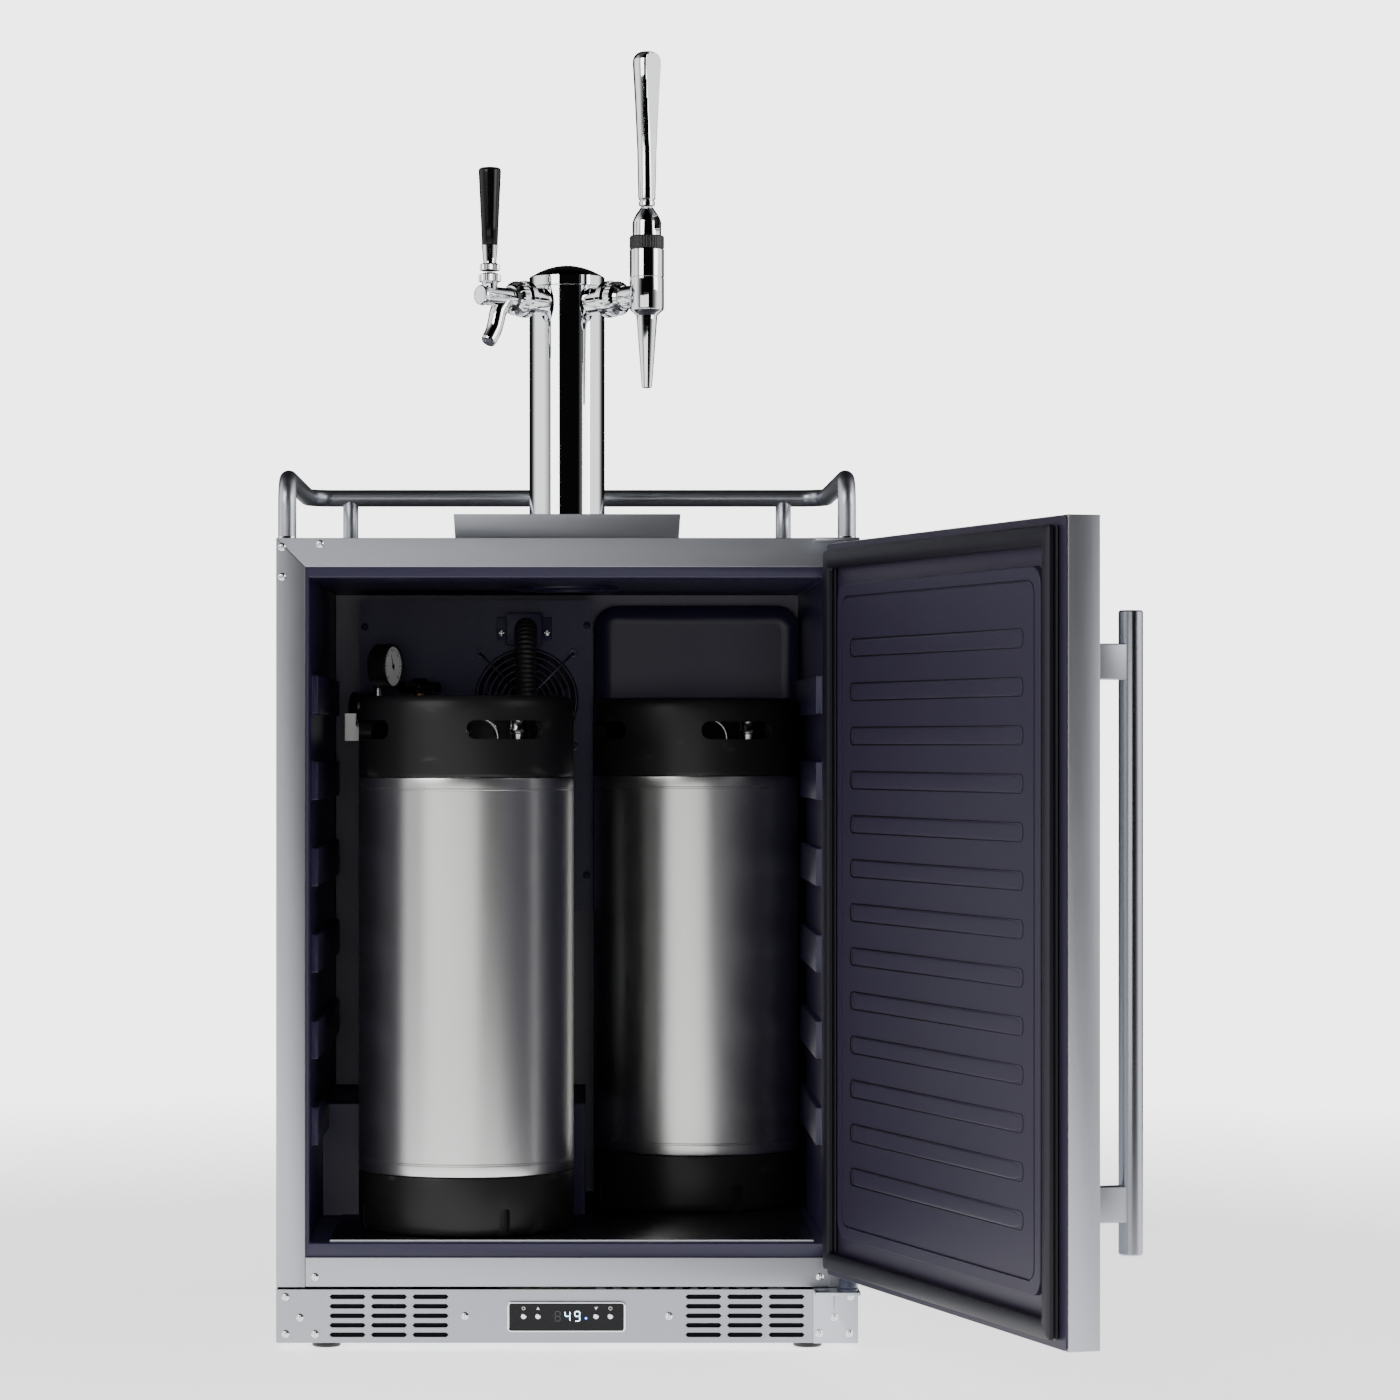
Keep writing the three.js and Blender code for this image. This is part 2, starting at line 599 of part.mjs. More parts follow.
function towerCap() {
  const { radius, wall, seam, edge, top } = TOWER;
  const inner = radius - wall - GAP;
  return turned([
    [0, top - 4], [inner - 6, edge - 3], [inner - 3, seam - 5], [inner, seam - 5], [inner, seam + GAP],
    [radius, seam + GAP], [radius, edge - 2], [radius - 1.5, edge], [radius * 0.75, edge + 7],
    [radius * 0.4, edge + 12], [0, top],
  ], TOWER.sides);
}

/** A threaded shank through the tower wall with its round saddle, collar and coupling nut, facing -Y. */
function shank() {
  const z = TOWER.shankZ;
  const towerSide = turned([
    [0, z - 40], [TOWER.radius + GAP, z - 40], [TOWER.radius + GAP, z + 40], [0, z + 40],
  ], TOWER.sides);
  const saddle = cut(bar([0, -30, z], [0, -66, z], SHANK.saddle, 24), towerSide);
  const thread = bar([0, -14, z], [0, -70, z], SHANK.thread, 20);
  const collar = bar([0, -62, z], [0, -70, z], SHANK.collar, 28);
  const nut = bar([0, -66, z], [0, -SHANK.end, z], SHANK.nut, 24, SHANK.nut - 4.5);
  return join(saddle, thread, collar, nut);
}

// ---------------------------------------------------------------- faucets, drawn facing -Y

/** Beer faucet: barrel, nose cap, down spout and the round bonnet under the lever. */
function beerFaucet() {
  const { reach, pivotZ } = BEER_TAP;
  const z = TOWER.shankZ;
  const barrel = bar([0, -88, z], [0, -reach - 10, z], 10.3, 18);
  const noseCap = bar([0, -reach - 8.3, z], [0, -reach - 15, z], 11, 18);
  const spout = alongCurve(new THREE.CatmullRomCurve3([
    [0.1, -97, z + 0.7], [0.1, -104, z - 8], [0.1, -112, z - 20], [0.1, -118, z - 33], [0.1, -121, z - 44],
    [0.1, -121.5, z - 52],
  ].map((p) => new THREE.Vector3(...p))), 7.9, 10, 8);
  const bonnet = turned([
    [0, z + 1.3], [8, z + 1.3], [8, 1115], [9, 1117.5], [11.9, 1118], [11.9, 1124.5], [10, pivotZ + 13.6],
    [5, pivotZ + 15.9], [0, pivotZ + 16.5],
  ], 20).translate(0, -reach + 0.1, 0);
  return join(barrel, noseCap, spout, bonnet);
}

/** The lever's collar and the tapered ferrule that the handle screws on. */
function tapLever() {
  const foot = BEER_TAP.pivotZ + BEER_TAP.collarFoot;
  return turned([
    [0, foot], [10.2, foot], [10.8, foot + 1], [10.8, foot + 6], [9.5, foot + 7.2], [7.2, foot + 8.4],
    [7.2, foot + 10], [8.6, foot + BEER_TAP.ferrule], [0, foot + BEER_TAP.ferrule],
  ], 24);
}

function tapHandle() {
  const foot = BEER_TAP.pivotZ + BEER_TAP.collarFoot + BEER_TAP.ferrule + GAP;
  const top = BEER_TAP.handleTop;
  return turned([
    [0, foot], [8.4, foot], [12.2, top - 4], [11.2, top - 0.8], [9.5, top], [0, top],
  ], 28);
}

/**
 * Stout faucet: body with its bonnet yoke, lock ring and long tapered nozzle. The yoke's head stays
 * inside a ball about the pivot, so the handle's flat foot clears it however far it is tilted.
 */
function stoutBody() {
  const r = STOUT_TAP.radius;
  const z = TOWER.shankZ;
  const profile = turned([
    [0, 1002], [5.6, 1002], [11.3, 1077], [11.3, 1080], [15, 1084], [r - 0.6, 1088], [r, 1090], [r, 1120.5],
    [r - 0.6, 1121], [r, 1121.5], [r, 1166.5], [15.6, 1168], [0, 1168],
  ], 24);
  const arch = new THREE.Shape();
  arch.moveTo(-15.6, 1166);
  arch.lineTo(15.6, 1166);
  arch.lineTo(15.6, 1182);
  arch.quadraticCurveTo(14, 1192, 5, STOUT_TAP.pivotZ + 17.8);
  arch.lineTo(-5, STOUT_TAP.pivotZ + 17.8);
  arch.quadraticCurveTo(-14, 1192, -15.6, 1182);
  const slot = new THREE.Path();
  slot.moveTo(4.5, 1172);
  slot.lineTo(4.5, 1184);
  slot.absarc(0, 1184, 4.5, 0, Math.PI);
  slot.lineTo(-4.5, 1172);
  arch.holes.push(slot);
  const front = upright(arch, -15, 15, 6);
  const round = turned([[0, 1160], [15.6, 1160], [15.6, 1184], [12, 1193], [7, 1196.8], [0, 1198]], 24);
  const neck = bar([0, 0, z], [0, STOUT_TAP.reach - 88, z], 12, 20);
  return join(profile, common(front, round), neck);
}

/** The long polished stout handle: round at its foot, a flat-sided paddle at its head. */
function stoutHandle() {
  const foot = STOUT_TAP.pivotZ + 18.6;
  const rod = turned([
    [0, foot], [7.6, foot], [8.8, foot + 1], [8.8, foot + 4.6], [7.4, foot + 5.4], [9.3, foot + 8],
    [10.4, foot + 60], [13, foot + 115], [15.4, foot + 153], [15.2, foot + 158], [12.6, foot + 163.5],
    [7, foot + 166.4], [0, foot + 167.3],
  ], 28);
  const faces = [-1, 1].map((side) => {
    const flat = new THREE.BoxGeometry(60, 30, 260).rotateX(side * THREE.MathUtils.degToRad(2.2));
    return flat.translate(0, side * (15 + 11.5), foot + 130 + 24);
  });
  return cut(rod, ...faces);
}

// ---------------------------------------------------------------- kegs and gas

/** The keg's welded steel vessel, with a small port in its top. */
function kegShell() {
  const { radius, neck, baseTop, topBottom } = KEG;
  const wall = 1.5;
  const [low, high] = [baseTop + GAP, topBottom - GAP];
  return turned([
    [0, 126], [60, 130], [92, 142], [neck - GAP, 156], [neck - GAP, low], [radius, low], [radius, high],
    [neck - GAP, high], [neck - GAP, 596], [92, 606], [60, 612], [7, 614], [7, 612], [60, 610],
    [radius - wall - 6, high - 2 * wall], [radius - wall, high - 8], [radius - wall, low + 8],
    [radius - wall - 6, low + 2 * wall], [60, 132], [0, 128],
  ], KEG.sides);
}

/** The rubber top chime: a thick ring with four hand-holes. */
function kegTopChime() {
  const { neck, topBottom, top } = KEG;
  const ring = turned([
    [neck, topBottom], [113.4, topBottom], [114, topBottom + 4], [113.6, top - 9], [111, top - 2.4],
    [107, top],
    [100, top], [96.5, top - 4], [99, top - 24], [neck, topBottom + 24], [neck, topBottom],
  ], KEG.sides);
  const holes = [0, 1, 2, 3].map((i) => {
    const { width, height, z, turn } = KEG.handHole;
    const hole = upright(roundedRectangle(width, height, 8, 0, z), -130, -80, 1);
    return hole.rotateZ(THREE.MathUtils.degToRad(turn + i * 90));
  });
  return cut(ring, ...holes);
}

/** The rubber base chime: a cup-shaped ring with drain notches. */
function kegBaseChime() {
  const { neck, bottom, baseTop } = KEG;
  const ring = turned([
    [neck, baseTop], [neck, 126], [90, bottom + 8], [90, bottom], [110, bottom], [112.6, bottom + 3],
    [114, bottom + 22], [113.6, baseTop], [neck, baseTop],
  ], KEG.sides);
  const notches = [0, 1, 2, 3].map((i) => {
    const { width, height, turn } = KEG.notch;
    const notch = block(-width / 2, width / 2, -130, -106, bottom - 1, bottom + height);
    return notch.rotateZ(THREE.MathUtils.degToRad(turn + i * 90));
  });
  return cut(ring, ...notches);
}

function gasCylinder() {
  const { radius, shoulder, neck, wall } = CYLINDER;
  const bottom = HUMP.top + GAP;
  return turned([
    [0, bottom], [radius - 8, bottom], [radius, bottom + 8], [radius, shoulder - 30],
    [radius - 7, shoulder - 8], [42, shoulder + 14], [20, shoulder + 26], [16, shoulder + 30], [16, neck],
    [8, neck], [8, shoulder + 28], [40, shoulder + 8], [radius - 11, shoulder - 11],
    [radius - wall, shoulder - 31], [radius - wall, bottom + 10], [radius - 12, bottom + 6], [0, bottom + 6],
  ], 20);
}

/** The brass cylinder valve with its side outlet. */
function cylinderValve() {
  const foot = CYLINDER.neck + GAP;
  const stem = turned([
    [0, foot], [15, foot], [15, foot + 6], [11.5, foot + 8], [11.5, foot + 34], [7, foot + 36],
    [7, foot + CYLINDER.valve], [0, foot + CYLINDER.valve],
  ], 20);
  return join(stem, bar([0, 0, CYLINDER.outletZ], [-25, -5, CYLINDER.outletZ], 9.5, 16));
}

function handwheel() {
  const foot = CYLINDER.neck + GAP + CYLINDER.valve + GAP;
  return turned([
    [0, foot], [8, foot], [16, foot + 2], [21, foot], [23.5, foot + 3], [23.5, foot + 7], [21, foot + 10],
    [16, foot + 8], [8, foot + 11], [0, foot + 12],
  ], 20);
}

/** Pressure regulator: coupling nut, round body, bonnet with its adjusting cap, and gauge stem. */
function regulator() {
  const z = CYLINDER.outletZ;
  const nut = bar([-25.5, -5.1, z], [-38, -7.6, z], 13.5, 6);
  const inlet = bar([-36, -7.2, z], [-48, -9.6, z], 7, 12);
  const body = bar([-44, -8, z], [-74, -16, z], 23, 24);
  const bonnet = bar([-60, -12, z], [-72, -16, z - 24], 17, 20);
  const stem = bar([-45, -24, z + 3], [-45, -24, z + 26], 5, 12);
  const branch = bar([-52, -12, z + 3], [-45, -24, z + 5], 6, 12);
  return join(nut, inlet, body, bonnet, stem, branch);
}

/** Round dial gauge on the regulator, its face turned to the right. */
function gauge() {
  const facing = new THREE.Vector3(...GAUGE.facing);
  const middle = new THREE.Vector3(...GAUGE.middle);
  const back = middle.clone().addScaledVector(facing, -GAUGE.behind);
  const front = middle.clone().addScaledVector(facing, GAUGE.ahead);
  return bar(back.toArray(), front.toArray(), GAUGE.radius, 28);
}

// ---------------------------------------------------------------- door, drawn shut

function doorSkin() {
  const half = DOOR.width / 2;
  const { bottom, top, face, sheet } = DOOR;
  const pan = cut(
    block(-half, half, face, DOOR_BACK, bottom, top),
    block(-half + sheet, half - sheet, face + sheet, DOOR_BACK + 5, bottom + sheet, top - sheet),
  );
  return cut(pan, hingeBore());
}

/** A round bar on the door's hinge line. */
function hingeBar(z0, z1, radius) {
  return bar([DOOR.hingeX, DOOR.hingeY, z0], [DOOR.hingeX, DOOR.hingeY, z1], radius, 16);
}

const hingeBore = () => hingeBar(DOOR.bottom - 20, DOOR.top + 20, HINGE.pin + 1);

function doorFoam() {
  const half = DOOR.width / 2 - DOOR.sheet - GAP;
  const inset = DOOR.sheet + GAP;
  const fill = block(-half, half, DOOR.face + inset, DOOR_BACK, DOOR.bottom + inset, DOOR.top - inset);
  return cut(fill, hingeBore());
}

/** The moulded inner panel: a thin flange with a raised field and shallow ribs. */
function doorLiner() {
  const edge = DOOR.width / 2 - 1;
  const back = DOOR_BACK + GAP;
  const [low, high] = [DOOR.bottom + 1, DOOR.top - 1];
  const flange = block(-edge, edge, back, back + 2, low, high);
  const field = block(-252, 252, back + 1, back + 8, low + 44, high - 44);
  const hollow = block(-246, 246, back - 1, back + 5, low + 50, high - 50);
  return cut(join(flange, field), hollow);
}

function doorGasket() {
  const half = DOOR.width / 2 - GASKET.inset;
  const [low, high] = [DOOR.bottom + 8, DOOR.top - 8];
  const [back, face] = [DOOR_BACK + GAP + 2 + GAP, GASKET.face];
  return cut(
    block(-half, half, back, face, low, high),
    block(
      -half + GASKET.width, half - GASKET.width, back - 5, face + 5,
      low + GASKET.width, high - GASKET.width,
    ),
  );
}

/** Bar handle on two square posts. */
function doorHandle() {
  const x = -DOOR.width / 2 + HANDLE.fromEdge;
  const y = DOOR.face - HANDLE.stand;
  const [low, high] = [HANDLE.z - HANDLE.length / 2, HANDLE.z + HANDLE.length / 2];
  const posts = [-1, 1].map((side) => {
    const z = HANDLE.z + side * HANDLE.postReach;
    return block(x - 8, x + 8, y, DOOR.face - GAP, z - HANDLE.post / 2, z + HANDLE.post / 2);
  });
  return join(bar([x, y, low], [x, y, high], HANDLE.radius, 24), ...posts);
}

/** Lower hinge: a screwed plate with a ribbed shelf that carries the pin. */
function lowerHinge() {
  const face = FRONT - GAP;
  const { left, lowerTop, plate } = HINGE;
  const wall = block(left, SIDE, face - 2.2, face, 0, lowerTop);
  const shelf = block(left, SIDE, DOOR.hingeY - 12, face, lowerTop - plate, lowerTop);
  const pin = hingeBar(lowerTop - 1, DOOR.bottom + 14, HINGE.pin);
  const washer = hingeBar(lowerTop - 1, DOOR.bottom - 1.2, 2 * HINGE.pin);
  return join(wall, shelf, pin, washer, gussetUnder(face));
}

/** The triangular rib under the lower hinge's shelf. */
function gussetUnder(face) {
  const { x, reach, drop, thickness } = GUSSET;
  const triangle = outline([[0, 0], [0, -drop], [-reach, 0]]);
  const rib = new THREE.ExtrudeGeometry(triangle, { depth: thickness, bevelEnabled: false });
  rib.rotateX(Math.PI / 2).rotateZ(Math.PI / 2);
  return rib.translate(x, face - 2, HINGE.lowerTop - 1);
}

/** Upper hinge: a plate over the door's top edge with its pin hanging down. */
function upperHinge() {
  const face = FRONT - GAP;
  const { upperBottom, plate, left } = HINGE;
  const arm = block(left, SIDE - 1, DOOR.hingeY - 12, face, upperBottom, upperBottom + plate);
  const pin = hingeBar(upperBottom + 1, DOOR.top - 14, HINGE.pin);
  return join(arm, pin);
}

// ---------------------------------------------------------------- assembly

function cabinet() {
  const group = new THREE.Group();
  group.add(
    piece('outer_case', outerCase(), FINISH.brushed),
    piece('base_pan', basePan(), FINISH.galvanised),
    piece('rear_panel', rearPanel(), FINISH.galvanised),
    piece('rear_cover', rearCover(), FINISH.galvanised),
    piece('power_inlet', powerInlet(), FINISH.blackPlastic),
    piece('liner', liner(), FINISH.linerPlastic),
    piece('foam_insulation', foamInsulation(), FINISH.foam),
    piece('face_stile_left', faceStile(-1), FINISH.brushed),
    piece('face_stile_right', faceStile(1), FINISH.brushed),
    piece('face_rail_top', faceRailTop(), FINISH.brushed),
    piece('face_rail_bottom', faceRailBottom(), FINISH.brushed),
    piece('kick_grille', kickGrille(), FINISH.brushed),
    piece('control_panel', controlPanel(), FINISH.blackPlastic),
    piece('floor_plate', floorPlate(), FINISH.brushed),
    piece('rear_roller', rearRoller(), FINISH.blackPlastic),
    piece('hinge_bracket_lower', lowerHinge(), FINISH.brushed),
    piece('hinge_bracket_upper', upperHinge(), FINISH.brushed),
  );
  for (const [name, x] of Object.entries(BUTTONS)) {
    group.add(piece(name, button(x), FINISH.chrome));
  }
  for (const [name, side] of [['foot_left', -1], ['foot_right', 1]]) {
    const foot = piece(name, levellingFoot(), FINISH.blackPlastic);
    foot.position.set(side * FOOT.x, FOOT.y, 0);
    group.add(foot);
  }
  return group;
}

function coolingSystem() {
  const group = new THREE.Group();
  group.add(
    piece('evaporator_cover', evaporatorCover(), FINISH.darkMetal),
    piece('evaporator_coil', evaporatorCoil(), FINISH.aluminium),
    piece('fan_motor', fanMotor(), FINISH.blackPlastic),
    piece('fan_blades', fanBlades(), FINISH.blackPlastic),
    piece('fan_guard', fanGuard(), FINISH.darkMetal),
    piece('hose_bracket', hoseBracket(), FINISH.darkMetal),
    piece('cooling_hose', coolingHose(), FINISH.blackRubber),
    piece('compressor', compressor(), FINISH.compressorPaint),
    piece('condenser', condenser(), FINISH.aluminium),
  );
  return group;
}

function tower() {
  const group = new THREE.Group();
  group.add(
    piece('guard_rail', guardRail(), FINISH.brushed),
    piece('drip_tray', dripTray(), FINISH.brushed),
    piece('drip_grid', dripGrid(), FINISH.brushed),
    piece('tower_column', towerColumn(), FINISH.chrome),
    piece('tower_cap', towerCap(), FINISH.chrome),
  );

  const beer = new THREE.Group();
  beer.rotation.z = THREE.MathUtils.degToRad(BEER_TAP.turn);
  const lever = piece('tap_lever', tapLever(), FINISH.chrome);
  const handle = piece('tap_handle', tapHandle(), FINISH.blackPlastic);
  for (const part of [lever, handle]) {
    part.position.y = -BEER_TAP.reach;
  }
  beer.add(piece('shank_left', shank(), FINISH.chrome), piece('beer_faucet', beerFaucet(), FINISH.chrome));
  beer.add(lever, handle);

  const stout = new THREE.Group();
  stout.rotation.z = THREE.MathUtils.degToRad(STOUT_TAP.turn);
  const body = piece('stout_faucet', stoutBody(), FINISH.chrome);
  const paddle = piece('stout_handle', stoutHandle(), FINISH.chrome);
  for (const part of [body, paddle]) {
    part.position.y = -STOUT_TAP.reach;
  }
  stout.add(piece('shank_right', shank(), FINISH.chrome), body, paddle);

  group.add(beer, stout);
  return group;
}

function contents() {
  const group = new THREE.Group();
  for (const [name, [x, y]] of Object.entries(KEGS)) {
    const keg = new THREE.Group();
    keg.position.set(x, y, 0);
    keg.add(
      piece(`${name}_shell`, kegShell(), FINISH.kegSteel),
      piece(`${name}_top_chime`, kegTopChime(), FINISH.blackRubber),
      piece(`${name}_base_chime`, kegBaseChime(), FINISH.blackRubber),
    );
    group.add(keg);
  }
  const gas = new THREE.Group();
  gas.position.set(CYLINDER.x, CYLINDER.y, 0);
  gas.add(
    piece('gas_cylinder', gasCylinder(), FINISH.aluminium),
    piece('cylinder_valve', cylinderValve(), FINISH.brass),
    piece('valve_handwheel', handwheel(), FINISH.blackPlastic),
    piece('regulator', regulator(), FINISH.chrome),
    piece('pressure_gauge', gauge(), FINISH.dial),
  );
  group.add(gas);
  return group;
}

function door() {
  const group = new THREE.Group();
  group.add(
    piece('door_skin', doorSkin(), FINISH.brushed),
    piece('door_foam', doorFoam(), FINISH.foam),
    piece('door_liner', doorLiner(), FINISH.doorPlastic),
    piece('door_gasket', doorGasket(), FINISH.gasket),
    piece('door_handle', doorHandle(), FINISH.brushed),
  );
  group.position.set(-DOOR.hingeX, -DOOR.hingeY, 0);
  const hinge = new THREE.Group();
  hinge.add(group);
  hinge.position.set(DOOR.hingeX, DOOR.hingeY, 0);
  hinge.rotation.z = THREE.MathUtils.degToRad(DOOR.openDegrees);
  return hinge;
}

const kegerator = new THREE.Group();
kegerator.name = 'kegerator';
kegerator.add(cabinet(), coolingSystem(), tower(), contents(), door());

export default kegerator;
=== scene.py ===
import json
import math

import bmesh
import bpy
import numpy as np
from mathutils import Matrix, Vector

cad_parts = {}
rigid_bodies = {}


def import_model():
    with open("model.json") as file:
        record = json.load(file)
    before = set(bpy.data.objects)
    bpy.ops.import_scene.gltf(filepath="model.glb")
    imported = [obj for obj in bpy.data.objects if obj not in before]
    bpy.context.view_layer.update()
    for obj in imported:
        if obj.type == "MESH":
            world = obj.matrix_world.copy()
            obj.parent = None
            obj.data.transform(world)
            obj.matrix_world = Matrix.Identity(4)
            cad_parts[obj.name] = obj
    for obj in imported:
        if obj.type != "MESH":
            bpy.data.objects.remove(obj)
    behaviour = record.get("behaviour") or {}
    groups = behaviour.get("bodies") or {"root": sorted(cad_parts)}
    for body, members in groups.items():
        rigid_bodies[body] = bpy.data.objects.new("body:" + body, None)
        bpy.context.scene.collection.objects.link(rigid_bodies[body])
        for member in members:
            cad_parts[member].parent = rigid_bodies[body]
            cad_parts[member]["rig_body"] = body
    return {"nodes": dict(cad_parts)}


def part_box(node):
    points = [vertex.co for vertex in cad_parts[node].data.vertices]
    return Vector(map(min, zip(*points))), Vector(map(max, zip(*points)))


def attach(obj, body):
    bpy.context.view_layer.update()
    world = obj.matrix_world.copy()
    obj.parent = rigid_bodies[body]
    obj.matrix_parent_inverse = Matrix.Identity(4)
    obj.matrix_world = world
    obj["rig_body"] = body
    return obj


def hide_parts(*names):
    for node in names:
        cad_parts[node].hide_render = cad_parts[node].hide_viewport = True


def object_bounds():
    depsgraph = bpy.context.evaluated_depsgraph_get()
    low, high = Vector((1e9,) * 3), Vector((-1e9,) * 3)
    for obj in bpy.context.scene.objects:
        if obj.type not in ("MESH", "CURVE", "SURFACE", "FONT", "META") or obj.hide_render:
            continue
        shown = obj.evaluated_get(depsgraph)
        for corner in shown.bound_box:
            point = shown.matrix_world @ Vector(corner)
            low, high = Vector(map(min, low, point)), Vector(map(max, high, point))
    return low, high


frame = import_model()
CAD_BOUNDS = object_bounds()

bl_info = {
    "name": "Two-tap kegerator",
    "version": (1, 0, 0),
    "blender": (4, 5, 0),
    "location": "View3D > Sidebar > Kegerator",
    "description": "Builds the visual model of a kegerator around its packed frame",
    "category": "Add Mesh",
}

# Shapes are worked out in millimetres and put into their meshes in metres.
MM = 0.001


def span(node):
    """A CAD node's lowest and highest corners in millimetres."""
    low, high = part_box(node)
    return np.array(low) / MM, np.array(high) / MM


def middle(node):
    """The middle of a CAD node's box in millimetres."""
    low, high = span(node)
    return (low + high) / 2


FRONT = span("face_rail_top")[0][1]
CASE_LOW, CASE_HIGH = span("outer_case")
SHANK_Z = middle("shank_left")[2]
HINGE_X, HINGE_Y = 287.0, -330.0
DOOR_OPEN = 107.6
DOOR_LOW, DOOR_HIGH = span("door_skin")[0][2], span("door_skin")[1][2]
DOOR_FACE, DOOR_HALF = -345.0, 297.0
COVER_FRONT = span("evaporator_cover")[0][1]
HUMP_TOP = span("gas_cylinder")[0][2]
CEILING = 789.0


# ---------------------------------------------------------------- settings


class KegeratorFinishes(bpy.types.PropertyGroup):
    """Colours of the main finishes."""

    steel: bpy.props.FloatVectorProperty(
        name="Steel", description="Brushed cabinet steel", subtype="COLOR", default=(0.4, 0.412, 0.445))
    chrome: bpy.props.FloatVectorProperty(
        name="Chrome", description="Polished tower and faucets", subtype="COLOR", default=(0.88, 0.89, 0.9))
    keg: bpy.props.FloatVectorProperty(
        name="Keg steel", description="Ring-brushed keg shells", subtype="COLOR", default=(0.7, 0.695, 0.68))
    liner: bpy.props.FloatVectorProperty(
        name="Liner", description="Moulded cabinet liner", subtype="COLOR", default=(0.015, 0.0125, 0.036))
    door_liner: bpy.props.FloatVectorProperty(
        name="Door liner", description="Moulded inner door", subtype="COLOR",
        default=(0.0155, 0.0122, 0.0275))
    display: bpy.props.FloatVectorProperty(
        name="Display", description="Lit digits", subtype="COLOR", default=(0.55, 0.8, 1.0))


class KegeratorSizes(bpy.types.PropertyGroup):
    """Sizes of the pieces that a user would change."""

    sides: bpy.props.IntProperty(
        name="Sides", description="Faces round a turned piece", default=72, min=12, max=256)
    rail_bend: bpy.props.FloatProperty(
        name="Rail bend", description="Radius of the guard rail's corners", default=28 * MM, unit="LENGTH")
    ribs: bpy.props.IntProperty(
        name="Door ribs", description="Ribs across the inner door", default=13, min=1, max=40)
    rib_pitch: bpy.props.FloatProperty(
        name="Rib pitch", description="Distance between ribs", default=44.3 * MM, unit="LENGTH")
    guard_rings: bpy.props.IntProperty(
        name="Guard rings", description="Wire rings on the fan guard", default=6, min=1, max=12)
    hose_pitch: bpy.props.FloatProperty(
        name="Hose pitch", description="Distance between the hose's folds", default=5 * MM, unit="LENGTH")
    screw: bpy.props.FloatProperty(
        name="Screw head", description="Radius of a screw's head", default=4.1 * MM, unit="LENGTH")


class KegeratorStage(bpy.types.PropertyGroup):
    """The camera and the light."""

    lens: bpy.props.FloatProperty(name="Lens", description="Focal length in millimetres", default=111.0)
    distance: bpy.props.FloatProperty(
        name="Distance", description="Camera to the row's origin", default=4.75, unit="LENGTH")
    height: bpy.props.FloatProperty(
        name="Height", description="Camera above the base pan", default=0.6175, unit="LENGTH")
    shift_x: bpy.props.FloatProperty(name="Shift X", description="Sideways lens shift", default=0.095)
    shift_y: bpy.props.FloatProperty(name="Shift Y", description="Upward lens shift", default=0.0314)
    light: bpy.props.FloatProperty(name="Light", description="Strength of the surroundings", default=1.0)


def finishes():
    return bpy.context.scene.kegerator_finishes


def sizes():
    return bpy.context.scene.kegerator_sizes


# ---------------------------------------------------------------- shader maths


class Value:
    """A socket that sums can be written with: each operator adds a Math node."""

    def __init__(self, shader, socket):
        self.shader = shader
        self.socket = socket

    def _math(self, operation, first, second):
        return self.shader.node("ShaderNodeMath", {"operation": operation}, {0: first, 1: second}).out(0)

    def __add__(self, other):
        return self._math("ADD", self, other)

    def __radd__(self, other):
        return self._math("ADD", other, self)

    def __sub__(self, other):
        return self._math("SUBTRACT", self, other)

    def __rsub__(self, other):
        return self._math("SUBTRACT", other, self)

    def __mul__(self, other):
        return self._math("MULTIPLY", self, other)

    def __rmul__(self, other):
        return self._math("MULTIPLY", other, self)

    def __gt__(self, other):
        return self._math("GREATER_THAN", self, other)


class Made:
    """A node that was just added."""

    def __init__(self, shader, node):
        self.shader = shader
        self.made = node

    def out(self, name):
        return Value(self.shader, self.made.outputs[name])


class Network:
    """A node tree in the making."""

    def __init__(self, tree):
        self.tree = tree

    def node(self, kind, settings=None, inputs=None):
        """Any node: its settings are set first, then its sockets' values or links."""
        made = self.tree.nodes.new(kind)
        for key, value in (settings or {}).items():
            if key == "stops":
                self.stops(made.color_ramp.elements, value)
            else:
                setattr(made, key, value)
        for key, value in (inputs or {}).items():
            self.feed(made.inputs[key], value)
        return Made(self, made)

    def stops(self, elements, stops):
        """Fills a ramp, which starts with two elements, with (place, (red, green, blue)) stops."""
        for place, _ in stops[2:]:
            elements.new(place)
        for element, (place, colour) in zip(elements, stops):
            element.position = place
            element.color = (*colour, 1)

    def feed(self, socket, value):
        if isinstance(value, Value):
            self.tree.links.new(value.socket, socket)
        else:
            socket.default_value = value


